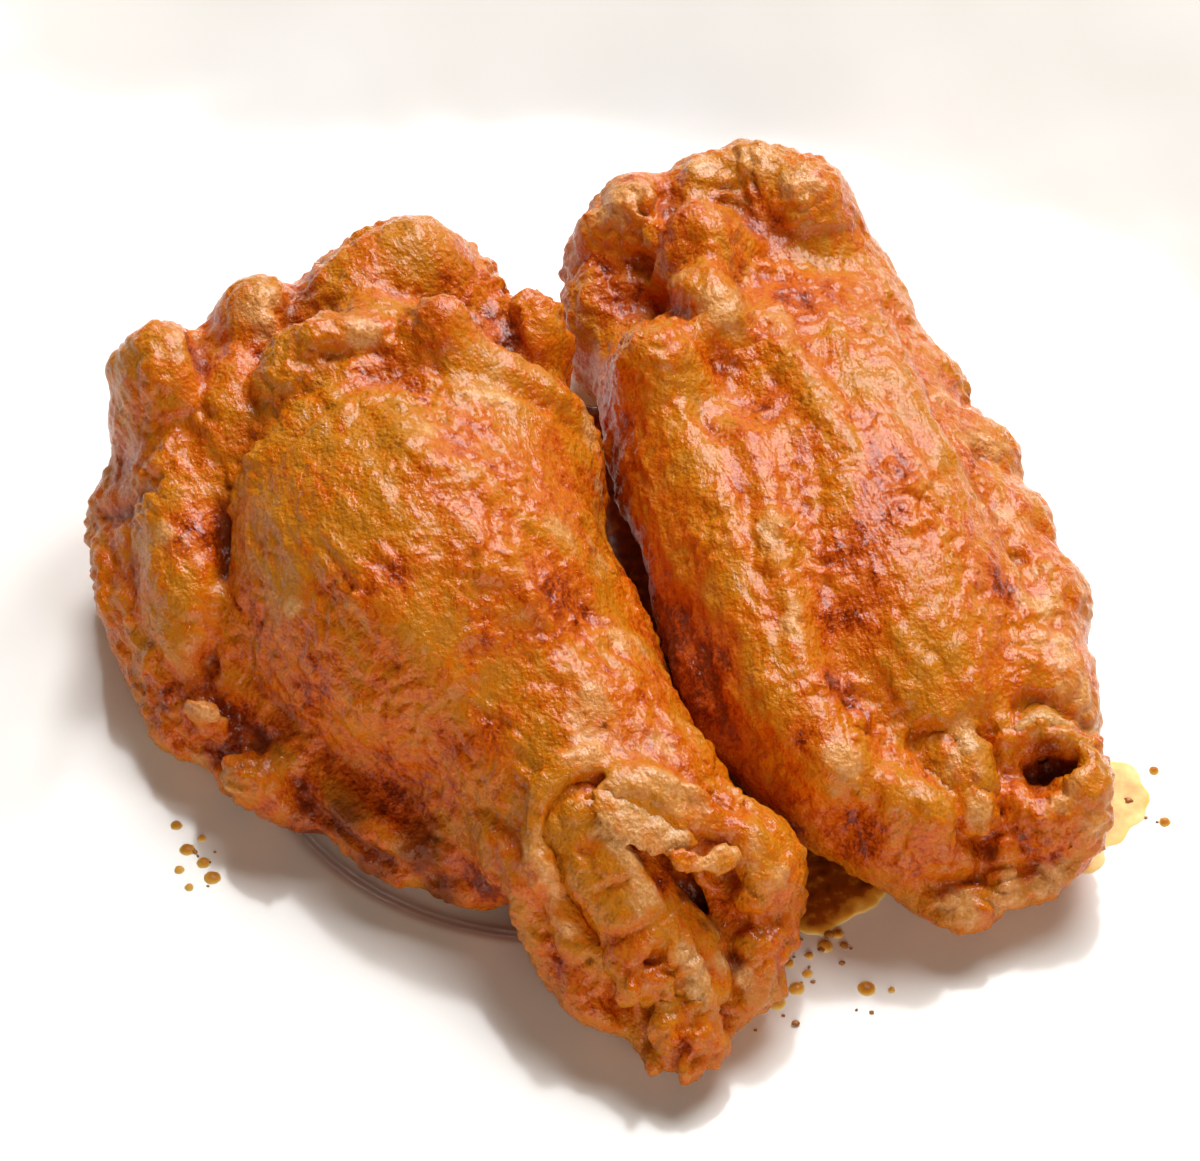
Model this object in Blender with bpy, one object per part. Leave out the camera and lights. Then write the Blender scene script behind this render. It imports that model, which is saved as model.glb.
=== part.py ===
"""A serving of sauced chicken wings: one drumette and one flat, on a small white plate.

Run with: blender --background --python part.py
Units are metres, +Z is up, and the origin is on the table under the middle of the plate.
Each wing piece is laid out in its own frame, in millimetres: x runs from its lower joint towards
its far end, y to the left of that, and z is the height above the plate's floor.
"""

import math

import bmesh
import bpy
from mathutils import Euler, Matrix, Vector

MM = 0.001

# Plate
PLATE_RADIUS = 108.0
PLATE_HEIGHT = 20.0
FLOOR_HEIGHT = 6.0  # top of the flat floor above the table
FLOOR_RADIUS = 62.0
RECESS_RADIUS = 27.0  # the shallow ring in the middle of the floor
RECESS_DEPTH = 1.6
RECESS_SLOPE = 1.8
WALL = 3.6
LIP_RADIUS = 1.4
FOOT_RADIUS = 54.0
FOOT_WIDTH = 3.0
UNDERSIDE_RISE = 1.0  # how far the middle of the underside lies below the floor's own underside
PLATE_SEGMENTS = 64

# Meat, skin and bones
REST_GAP = 0.3  # between pieces that touch
SKIN_VOXEL = 1.2
BONE_VOXEL = 0.8
HOLLOW_VOXEL = 0.8
DRUMETTE_TRIANGLES = 2800
FLAT_TRIANGLES = 2500
BONE_TRIANGLES = 240
HOLLOW_TRIANGLES = 160

# Where the lower joint of each wing piece lies on the plate, and the way the piece points
DRUMETTE_AT = (12.0, -42.0)
DRUMETTE_HEADING = 118.0
FLAT_AT = (36.0, -26.0)
FLAT_HEADING = 103.7

# Lobes: name, centre, radii. Rolls: name, points along the roll, radius at each point.
DRUMETTE_LOBES = (
    ("breast muscle", (50, 1, 13), (23, 17, 16)),
    ("breast muscle, far side", (59, -8, 13), (15, 13, 14)),
    ("side of the breast", (44, -10, 9), (18, 7, 9)),
    ("shank muscle", (31, -2, 11), (18, 12, 11)),
    ("shoulder lobe, right", (77, -10, 16), (9, 12, 10)),
    ("shoulder lobe, crown", (79, -13, 22), (4, 5, 5)),
    ("shoulder lobe, middle", (80, 2, 14), (7, 6.5, 11)),
    ("shoulder lobe, left", (78, 12.5, 13), (8, 6, 12)),
    ("shoulder band", (70, -1, 23), (4, 9, 5)),
    ("shoulder bead", (66, -10, 26), (3, 4, 3.5)),
    ("square knob", (67, -19, 18), (4.5, 4.5, 6)),
    ("belly", (47, 18, 4.5), (12, 7, 4.5)),
    ("underside, upper", (35, 12.5, 4.5), (10, 6, 4.5)),
    ("underside, lower", (27, 8, 4.5), (7, 5.5, 4.5)),
    ("wrist", (20, -5, 10), (9, 9, 9)),
    ("below the bone", (11, -2, 5), (9, 6, 5)),
    ("right knuckle", (10, -11, 9), (6, 5, 7)),
    ("right knuckle, end", (7.5, -10, 6), (5, 4, 5)),
    ("tip", (1.5, 0.5, 3.5), (5, 4.5, 4)),
    ("tip, right", (4, -5, 4), (5, 6, 4.5)),
    ("lifted flap", (11.5, -4, 15.5), (4.5, 4.5, 1.8)),
)
DRUMETTE_ROLLS = (
    ("side fold, inner", ((70, 15, 15), (59, 19, 11), (50, 20, 6)), (5, 5.5, 4.5)),
    ("side fold, outer", ((74, 18, 8), (63, 21.7, 7), (52, 23.5, 4)), (5.5, 5.5, 4)),
    ("left knuckle", ((21, 5, 11), (13, 4.5, 7.5), (7, 5, 4)), (4.5, 4.5, 3.5)),
    ("skin arch", ((16, 6, 13), (17.5, 2, 16), (15.5, -3, 16.5), (12, -8, 14)), (3, 3.2, 3.2, 3)),
)
DRUMETTE_HOLLOWS = (
    ("pocket over the bone", (10, -1, 14), (6, 4, 6)),
    ("slot beside the bone", (8, -6.2, 11), (3.5, 1.6, 5)),
)
DRUMETTE_BONES = (
    ("drumette_bone", (
        ("shaft", ((5.5, -2.7, 7.5), (12, -0.3, 11), (20, 1, 12), (45, 1, 13), (72, 0, 14)), (3.4, 2.9, 3, 3, 5)),
    )),
)

FLAT_LOBES = (
    ("web between the bones", (40, -1, 10), (34, 13, 11)),
    ("far lump, left", (77, 10, 13), (7, 5.5, 7)),
    ("far lump, middle", (79, 3, 13), (5.5, 5, 7)),
    ("far lump, right", (75, -5, 11.5), (8.5, 7, 9.5)),
    ("far lump, crown", (80, -1.5, 17), (3.5, 3.5, 3.5)),
    ("far lump, side", (77, 14, 10), (5, 4, 6)),
    ("round lump", (70, 6, 16), (6, 6, 6)),
    ("side lump", (70, 15, 8), (7, 4.5, 7)),
    ("middle lump", (60, 8, 17), (6, 4, 6)),
    ("left ridge knob", (54, 14, 17), (6.5, 5, 6)),
    ("right edge, 1", (63, -9, 9), (7, 5, 7)),
    ("right edge, 2", (53, -11.5, 9), (5.5, 5, 6)),
    ("right edge, 3", (44, -14, 8.5), (5, 5, 6)),
    ("right edge, 4", (35, -14.5, 8.5), (5, 5, 6)),
    ("right edge, 5", (26, -15.5, 8.5), (5, 4.5, 6)),
    ("right edge, 6", (16, -12.7, 8), (6, 4.5, 6.5)),
    ("lower knob", (7, 3, 7), (8, 8, 7)),
    ("lower knob, right", (6, -9, 7), (7, 6, 7)),
    ("lower tip", (1.5, 0, 3.5), (4.5, 6, 3.5)),
    ("lower tip, right", (1, -6, 3.5), (4, 5, 3.5)),
)
FLAT_ROLLS = (
    ("left bone ridge", ((58, 12, 12), (46, 13, 13), (33, 13, 12), (20, 13, 10), (10, 9, 8)), (6, 7, 7, 7, 6)),
    ("crest", ((42, 10, 17), (28, 11, 16), (16, 12, 14.5), (9, 10, 12)), (4.5, 4.5, 4, 4.5)),
    ("right bone ridge", ((70, -8, 9), (50, -9, 9), (30, -11, 8.5), (18, -11, 8.5)), (6, 6, 6.5, 6.5)),
)
FLAT_HOLLOWS = (
    ("hollow between the bone ends", (4.5, -8.5, 12), (3.2, 3, 4)),
)
FLAT_BONES = (
    ("flat_ulna", (
        ("shaft", ((6, -1.5, 10.5), (14, 2, 10.5), (30, 8, 11), (74, 8, 11)), (3.6, 2.4, 2.4, 3.5)),
    )),
    ("flat_radius", (
        ("shaft", ((9.5, -9.5, 10.5), (16, -10, 9), (30, -10, 8.5), (74, -5, 9)), (3, 1.8, 1.8, 3)),
    )),
)


def clear_scene():
    for obj in list(bpy.data.objects):
        bpy.data.objects.remove(obj, do_unlink=True)


def new_material(name, color, roughness):
    material = bpy.data.materials.new(name)
    material.use_nodes = True
    shader = material.node_tree.nodes["Principled BSDF"]
    shader.inputs["Base Color"].default_value = (*color, 1.0)
    shader.inputs["Roughness"].default_value = roughness
    return material


def new_object(name, mesh, material=None):
    obj = bpy.data.objects.new(name, mesh)
    bpy.context.scene.collection.objects.link(obj)
    if material:
        mesh.materials.append(material)
    return obj


def mesh_from_bmesh(name, bm):
    mesh = bpy.data.meshes.new(name)
    bm.to_mesh(mesh)
    bm.free()
    return mesh


def wing_frame(name, at, heading):
    """An empty at a wing piece's lower joint, with its x axis along the piece."""
    frame = bpy.data.objects.new(name, None)
    bpy.context.scene.collection.objects.link(frame)
    frame.location = Vector((*at, FLOOR_HEIGHT)) * MM
    frame.rotation_euler = Euler((0, 0, math.radians(heading)))
    return frame


def add_lobe(bm, centre, radii):
    """One ellipsoid of flesh."""
    matrix = Matrix.LocRotScale(Vector(centre) * MM, None, Vector(radii) * MM)
    bmesh.ops.create_icosphere(bm, subdivisions=3, radius=1, matrix=matrix)


def add_roll(bm, points, radii):
    """A tapering roll of skin: balls close together along a bent line."""
    balls_per_radius = 2.5
    for i in range(len(points) - 1):
        start = Vector(points[i])
        end = Vector(points[i + 1])
        steps = max(1, round((end - start).length / min(radii[i], radii[i + 1]) * balls_per_radius))
        for step in range(steps + 1):
            share = step / steps
            radius = radii[i] + (radii[i + 1] - radii[i]) * share
            add_lobe(bm, start.lerp(end, share), (radius, radius, radius))


def fuse(obj, voxel, triangles):
    """Melts the overlapping forms of a mesh into one skin of about that many triangles."""
    remesh = obj.modifiers.new("fuse", "REMESH")
    remesh.mode = "VOXEL"
    remesh.voxel_size = voxel * MM
    smooth = obj.modifiers.new("soften", "SMOOTH")
    smooth.factor = 0.5
    smooth.iterations = 3
    share = min(1.0, triangles / triangle_count(obj))
    thin = obj.modifiers.new("thin out", "DECIMATE")
    thin.ratio = share


def triangle_count(obj):
    bpy.context.view_layer.update()
    graph = bpy.context.evaluated_depsgraph_get()
    mesh = obj.evaluated_get(graph).to_mesh()
    mesh.calc_loop_triangles()
    return len(mesh.loop_triangles)


def fused_form(name, frame, lobes, rolls, voxel, triangles, material=None):
    """One closed skin around lobes and rolls, placed in a wing piece's frame."""
    bm = bmesh.new()
    for _, centre, radii in lobes:
        add_lobe(bm, centre, radii)
    for _, points, radii in rolls:
        add_roll(bm, points, radii)
    obj = new_object(name, mesh_from_bmesh(name, bm), material)
    obj.data.shade_smooth()
    obj.parent = frame
    fuse(obj, voxel, triangles)
    return obj


def cut(obj, cutter):
    cutter.hide_render = True
    cutter.display_type = "WIRE"
    boolean = obj.modifiers.new("cut " + cutter.name, "BOOLEAN")
    boolean.operation = "DIFFERENCE"
    boolean.object = cutter


def clearance_copy(obj):
    """The shape of a piece, grown by the gap that its neighbour keeps from it."""
    copy = obj.copy()
    copy.name = obj.name + "_clearance"
    bpy.context.scene.collection.objects.link(copy)
    grow = copy.modifiers.new("grow", "DISPLACE")
    grow.mid_level = 0
    grow.strength = 1.3 * REST_GAP * MM
    return copy


def table_cutter():
    """A block whose top is just above the plate's floor: what it cuts off is where a wing rests flat."""
    bm = bmesh.new()
    size = Vector((3 * PLATE_RADIUS, 3 * PLATE_RADIUS, 2 * PLATE_HEIGHT)) * MM
    centre = Vector((0, 0, FLOOR_HEIGHT + REST_GAP - PLATE_HEIGHT)) * MM
    bmesh.ops.create_cube(bm, size=1, matrix=Matrix.LocRotScale(centre, None, size))
    return new_object("resting_level", mesh_from_bmesh("resting_level", bm))


def make_wing(name, frame, lobes, rolls, hollows, bones, triangles, skin, bone_surface, resting_level):
    """Meat and skin as one solid, hollowed at the lower joint and bored for the bones that show there."""
    wing = fused_form(name, frame, lobes, rolls, SKIN_VOXEL, triangles, skin)
    cut(wing, fused_form(name + "_hollows", frame, hollows, (), HOLLOW_VOXEL, HOLLOW_TRIANGLES))
    for bone_name, shaft in bones:
        bone = fused_form(bone_name, frame, (), shaft, BONE_VOXEL, BONE_TRIANGLES, bone_surface)
        cut(wing, clearance_copy(bone))
    cut(wing, resting_level)
    return wing


def plate_profile():
    """Points of the plate's section (radius, height): over the top from the middle, and back below."""
    floor_under = FLOOR_HEIGHT - WALL
    middle_under = floor_under - UNDERSIDE_RISE
    recess = FLOOR_HEIGHT - RECESS_DEPTH
    floor = [
        (0, recess),
        (RECESS_RADIUS, recess),
        (RECESS_RADIUS + RECESS_SLOPE, FLOOR_HEIGHT),
        (FLOOR_RADIUS, FLOOR_HEIGHT),
    ]
    rise = PLATE_HEIGHT - FLOOR_HEIGHT
    rim_width = PLATE_RADIUS - FLOOR_RADIUS
    rim = []
    for share in (0.15, 0.3, 0.6):
        rim.append((FLOOR_RADIUS + rim_width * share, FLOOR_HEIGHT + rise * share ** 1.3))
    lip = [
        (PLATE_RADIUS - LIP_RADIUS, PLATE_HEIGHT),
        (PLATE_RADIUS, PLATE_HEIGHT - LIP_RADIUS),
        (PLATE_RADIUS - LIP_RADIUS, PLATE_HEIGHT - 2 * LIP_RADIUS),
    ]
    rim_under = [(radius, height - WALL) for radius, height in reversed(rim)]
    foot = [
        (FLOOR_RADIUS, floor_under),
        (FOOT_RADIUS + FOOT_WIDTH, floor_under),
        (FOOT_RADIUS + FOOT_WIDTH * 0.7, 0),
        (FOOT_RADIUS, 0),
        (FOOT_RADIUS - FOOT_WIDTH * 0.3, middle_under),
        (0, middle_under),
    ]
    return floor + rim + lip + rim_under + foot


def make_plate(material):
    bm = bmesh.new()
    points = [bm.verts.new((radius * MM, 0, height * MM)) for radius, height in plate_profile()]
    for first, second in zip(points, points[1:]):
        bm.edges.new((first, second))
    bmesh.ops.spin(
        bm, geom=bm.verts[:] + bm.edges[:], axis=(0, 0, 1), cent=(0, 0, 0),
        steps=PLATE_SEGMENTS, angle=math.tau, use_merge=True,
    )
    bmesh.ops.remove_doubles(bm, verts=bm.verts, dist=0.01 * MM)
    bmesh.ops.recalc_face_normals(bm, faces=bm.faces)
    plate = new_object("plate", mesh_from_bmesh("plate", bm), material)
    plate.data.shade_smooth()
    plate.data.set_sharp_from_angle(angle=math.radians(35))


def main():
    clear_scene()
    glaze = new_material("white glaze", (0.86, 0.85, 0.83), 0.15)
    skin = new_material("sauced skin", (0.62, 0.18, 0.04), 0.35)
    bone_surface = new_material("sauced bone", (0.55, 0.38, 0.18), 0.4)
    make_plate(glaze)
    resting_level = table_cutter()
    make_wing(
        "drumette", wing_frame("drumette_frame", DRUMETTE_AT, DRUMETTE_HEADING),
        DRUMETTE_LOBES, DRUMETTE_ROLLS, DRUMETTE_HOLLOWS, DRUMETTE_BONES,
        DRUMETTE_TRIANGLES, skin, bone_surface, resting_level,
    )
    make_wing(
        "flat", wing_frame("flat_frame", FLAT_AT, FLAT_HEADING),
        FLAT_LOBES, FLAT_ROLLS, FLAT_HOLLOWS, FLAT_BONES,
        FLAT_TRIANGLES, skin, bone_surface, resting_level,
    )


main()
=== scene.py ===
# %% [markdown]
# # Sauced chicken wings on a white plate
#
# Two cooked wing pieces lie side by side on a plain plate: a drumette, which is the upper arm,
# and a flat, which is the forearm with its two bones. Hot orange sauce covers both.
# The solids of the pieces come from a frame that fixes their size and place. This lesson
# dresses them: it sculpts the skin like clay, paints the sauce and sets the light.

# %% Load the frame
import itertools
import math

import bmesh
import bpy
import numpy as np
import openvdb
from mathutils import Matrix, Vector, noise


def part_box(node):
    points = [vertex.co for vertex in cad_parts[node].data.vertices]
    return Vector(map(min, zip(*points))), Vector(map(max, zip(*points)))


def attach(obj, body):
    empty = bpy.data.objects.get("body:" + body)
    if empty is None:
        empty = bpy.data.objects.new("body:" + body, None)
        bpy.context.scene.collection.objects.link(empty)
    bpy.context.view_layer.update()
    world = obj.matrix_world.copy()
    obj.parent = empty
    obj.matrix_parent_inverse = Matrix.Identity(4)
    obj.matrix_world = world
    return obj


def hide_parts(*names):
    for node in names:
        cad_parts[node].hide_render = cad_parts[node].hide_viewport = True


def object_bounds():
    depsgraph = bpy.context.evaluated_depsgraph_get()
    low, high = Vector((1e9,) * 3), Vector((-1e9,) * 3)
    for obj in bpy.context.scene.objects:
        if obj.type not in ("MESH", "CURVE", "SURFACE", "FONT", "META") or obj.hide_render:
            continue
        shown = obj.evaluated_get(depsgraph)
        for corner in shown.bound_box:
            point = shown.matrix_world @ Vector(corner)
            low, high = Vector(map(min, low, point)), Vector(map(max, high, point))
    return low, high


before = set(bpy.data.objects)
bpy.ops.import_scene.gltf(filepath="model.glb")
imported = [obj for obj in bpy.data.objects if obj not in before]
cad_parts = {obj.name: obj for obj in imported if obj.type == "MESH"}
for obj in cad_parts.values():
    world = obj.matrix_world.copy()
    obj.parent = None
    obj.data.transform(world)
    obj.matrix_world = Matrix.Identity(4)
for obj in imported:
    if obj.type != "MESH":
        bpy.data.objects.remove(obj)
cad_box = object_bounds()
MM = 0.001
print("nodes in the frame:", sorted(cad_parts))

# %% [markdown]
# ## Where things lie
#
# The wings lie 0.3 mm above the plate's floor, so the floor's height follows from the frame.
# Each wing gets a frame of its own in millimetres: x runs from the lower joint towards the
# far end, y points left of that, and z is the height above the plate. Lumps and creases are
# much easier to place along a wing than in the world.

# %% Places and the wings' own frames
REST_GAP = 0.3
FLOOR_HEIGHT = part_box("drumette")[0].z / MM - REST_GAP
CEILING = cad_box[1][2] / MM - FLOOR_HEIGHT + 0.7  # over the plate's floor; no lump may rise above it
DRUMETTE_AT, DRUMETTE_HEADING = (12.0, -42.0), 118.0
FLAT_AT, FLAT_HEADING = (36.0, -26.0), 103.7


def wing_frame(at, heading):
    """Takes a wing's own millimetres to the world's metres."""
    origin = Vector((*at, FLOOR_HEIGHT)) * MM
    return Matrix.Translation(origin) @ Matrix.Rotation(math.radians(heading), 4, "Z") @ Matrix.Scale(MM, 4)


drumette_frame = wing_frame(DRUMETTE_AT, DRUMETTE_HEADING)
flat_frame = wing_frame(FLAT_AT, FLAT_HEADING)
print(f"plate floor at {FLOOR_HEIGHT:.2f} mm")

# %% [markdown]
# ## Camera
#
# The eye looks down at the plate at 48 degrees from 42 cm, as someone about to eat does.
# A long lens keeps the two pieces from spreading apart in perspective.

# %% Camera
VIEW_TARGET = Vector((4, 3, 18)) * MM
VIEW_ELEVATION = math.radians(48)
VIEW_DISTANCE = 0.42
SENSOR_WIDTH = 36.0
LENS_LENGTH = 138.6  # mm; takes in 109 mm at the target

camera_data = bpy.data.cameras.new("camera")
camera_data.sensor_width = SENSOR_WIDTH
camera_data.lens = LENS_LENGTH
camera_data.clip_start = 0.01
camera = bpy.data.objects.new("camera", camera_data)
bpy.context.scene.collection.objects.link(camera)
towards = Vector((0, math.cos(VIEW_ELEVATION), -math.sin(VIEW_ELEVATION)))
camera.location = VIEW_TARGET - towards * VIEW_DISTANCE
camera.rotation_mode = "QUATERNION"
camera.rotation_quaternion = towards.to_track_quat("-Z", "Y")
bpy.context.scene.camera = camera
print(f"lens {camera_data.lens:.1f} mm")

# %% [markdown]
# ## Clay
#
# Skin folds over itself, hangs and splits, which is hard to model face by face. A sculptor
# works in clay, and a grid of cells can be clay: each cell holds its distance to the skin,
# less than zero inside. Adding a roll of flesh or carving a crease is then one short sum
# over the cells nearby, and OpenVDB, which ships with Blender, turns the result into a mesh.

# %% The clay block
CELL = 0.41  # mm
BAND = 12  # cells on each side of the skin that know their distance
MARGIN = 11


class Clay:
    """A block of cells that each hold their distance to the skin in mm, less than zero inside."""

    def __init__(self, node, place):
        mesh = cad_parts[node].data
        mesh.calc_loop_triangles()
        own = place.inverted()
        points = np.array([own @ vertex.co for vertex in mesh.vertices], np.float32)
        triangles = np.array([triangle.vertices[:] for triangle in mesh.loop_triangles], np.int32)
        grid = openvdb.FloatGrid.createLevelSetFromPolygons(
            points, triangles=triangles, transform=openvdb.createLinearTransform(CELL), halfWidth=BAND
        )
        self.low = np.floor(points.min(0) / CELL).astype(int) - MARGIN
        size = np.ceil(points.max(0) / CELL).astype(int) + MARGIN - self.low
        self.cells = np.empty(size, np.float32)
        grid.copyToArray(self.cells, ijk=tuple(int(i) for i in self.low))

    def at(self, points, cells=None, step=1):
        """The distance at some points, blended from the eight cells round each."""
        cells = self.cells if cells is None else cells
        place = (points / CELL - self.low) / step
        base = np.clip(np.floor(place).astype(int), 0, np.array(cells.shape) - 2)
        share = place - base
        total = np.zeros(len(points))
        for corner in itertools.product((0, 1), repeat=3):
            weight = np.where(corner, share, 1 - share).prod(axis=1)
            i, j, k = (base + corner).T
            total += weight * cells[i, j, k]
        return total

    def outward(self, points):
        """The directions that point straight out of the skin."""
        slope = np.stack(
            [self.at(points + step) - self.at(points - step) for step in np.eye(3) * CELL], axis=1
        )
        return slope / np.maximum(np.linalg.norm(slope, axis=1, keepdims=True), 1e-6)

    def on_skin(self, points):
        """The nearest points of the skin."""
        points = np.array(points, float)
        for _ in range(4):
            points = points - self.at(points)[:, None] * self.outward(points)
        return points

    def part(self, low, high):
        """The slice of cells between two corners."""
        start = np.clip(np.floor(low / CELL).astype(int) - self.low, 0, self.cells.shape)
        stop = np.clip(np.ceil(high / CELL).astype(int) + 1 - self.low, start, self.cells.shape)
        return tuple(slice(a, b) for a, b in zip(start, stop))

    def axes(self, part):
        """The x, y and z of a slice of cells, ready to be combined."""
        lines = [(np.arange(s.start, s.stop) + low) * CELL for s, low in zip(part, self.low)]
        return np.meshgrid(*lines, indexing="ij", sparse=True)


print(f"cells of {CELL} mm")

# %% [markdown]
# A roll of clay is a chain of tapering sausages. Blending two shapes softly, by taking a
# rounded minimum of their distances, gives the smooth valley that skin makes where a fold
# meets the flesh. The same sum upside down presses a soft groove.

# %% Soft joins and rolls


def soft_min(a, b, blend):
    """The smaller of two distances, rounded off where they are within blend of each other."""
    share = np.clip(0.5 + 0.5 * (b - a) / blend, 0, 1)
    return b + (a - b) * share - blend * share * (1 - share)


def smooth_line(points, steps):
    """Points along a smooth curve through a few given ones (Catmull-Rom)."""
    points = np.array(points, float)
    if len(points) < 3:
        return points
    ends = np.concatenate([[2 * points[0] - points[1]], points, [2 * points[-1] - points[-2]]])
    line = []
    for a, b, c, d in zip(ends, ends[1:], ends[2:], ends[3:]):
        for t in np.arange(steps) / steps:
            line.append(0.5 * (2 * b + (c - a) * t + (2 * a - 5 * b + 4 * c - d) * t**2
                               + (3 * b - a - 3 * c + d) * t**3))
    return np.array(line + [points[-1]])


def roll(clay, centres, radii, blend, carve=False):
    """Joins a chain of sausages to the clay, or carves it away."""
    reach = radii.max() + blend + CELL
    part = clay.part(centres.min(0) - reach, centres.max(0) + reach)
    tool = np.full(clay.cells[part].shape, reach, np.float32)
    origin = np.array([s.start for s in part])
    if len(centres) == 1:
        centres, radii = np.repeat(centres, 2, axis=0), np.repeat(radii, 2)
    for a, b, ra, rb in zip(centres, centres[1:], radii, radii[1:]):
        near = clay.part(np.minimum(a, b) - reach, np.maximum(a, b) + reach)
        x, y, z = clay.axes(near)
        along = b - a
        share = (x - a[0]) * along[0] + (y - a[1]) * along[1] + (z - a[2]) * along[2]
        share = np.clip(share / max(along @ along, 1e-6), 0, 1)
        gap = np.sqrt(
            (x - a[0] - share * along[0]) ** 2 + (y - a[1] - share * along[1]) ** 2
            + (z - a[2] - share * along[2]) ** 2
        ) - (ra + (rb - ra) * share)
        spot = tuple(slice(s.start - o, s.stop - o) for s, o in zip(near, origin))
        tool[spot] = np.minimum(tool[spot], gap)
    if carve:
        clay.cells[part] = -soft_min(-clay.cells[part], tool, blend)
    else:
        clay.cells[part] = soft_min(clay.cells[part], tool, blend)


def stroke(clay, points, radius, height, blend=1.0):
    """A ridge (height above zero) or a groove along the skin, fading out at both ends."""
    line = clay.on_skin(smooth_line(points, 5))
    fade = np.ones(len(line))
    if len(line) >= 3:
        fade = 0.35 + 0.65 * np.sin(np.linspace(0, math.pi, len(line)))
    heights = height * fade
    radii = np.full(len(line), float(radius)) * (0.6 + 0.4 * fade)
    if height > 0:
        centres = line + clay.outward(line) * (heights - radii)[:, None]
        roll(clay, centres, radii, blend)
    else:
        centres = line + clay.outward(line) * (heights + radii)[:, None]
        roll(clay, centres, radii, blend, carve=True)


# %% [markdown]
# The frame's solids are faceted. Averaging each cell with its neighbours a few times melts
# the facets, as wet hands smooth clay, before the strokes go on. Loose skin is a thin leaf, so
# a leaf is a flattened ball joined to the clay.

# %% Smoothing and thin leaves


def soften(cells, width, cell=CELL):
    """A copy of the cells blurred over about width mm."""
    cells = cells.copy()
    passes = max(1, round(2 * (width / cell) ** 2))
    for _ in range(passes):
        for axis in range(3):
            ahead = np.roll(cells, -1, axis)
            behind = np.roll(cells, 1, axis)
            cells = 0.5 * cells + 0.25 * (ahead + behind)
    return cells


def leaf(clay, centre, radii, along, out, blend=0.5):
    """Joins a thin leaf of skin: an ellipsoid whose first radius lies along, and whose third points out."""
    centre = np.array(centre, float)
    first = np.array(along, float) / np.linalg.norm(along)
    third = np.array(out, float) - first * (np.array(out, float) @ first)
    third /= np.linalg.norm(third)
    second = np.cross(third, first)
    reach = max(radii) + blend + CELL
    part = clay.part(centre - reach, centre + reach)
    x, y, z = clay.axes(part)
    offsets = (x - centre[0], y - centre[1], z - centre[2])
    axes = (first, second, third)
    scaled = [sum(o * c for o, c in zip(offsets, axis)) / r for axis, r in zip(axes, radii)]
    size = np.sqrt(sum(s**2 for s in scaled))
    slope = np.sqrt(sum((s / r) ** 2 for s, r in zip(scaled, radii)))
    clay.cells[part] = soft_min(clay.cells[part], size * (size - 1) / np.maximum(slope, 1e-6), blend)


# %% [markdown]
# ## The drumette
#
# The drumette lies on its back with its meaty end away from the eye. At that end the skin
# bunches into three lobes and a band, and along its left side it hangs in two long folds.
# At the near end the skin has drawn back into an arch, which bares the joint. Each entry
# below is one stroke of the tool: a radius, a height (a groove if it is below zero) and the
# points that it runs through, in the drumette's own millimetres. A roll has a radius and its
# points, and a leaf a middle, three radii, the way it runs and the way it faces.

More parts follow.
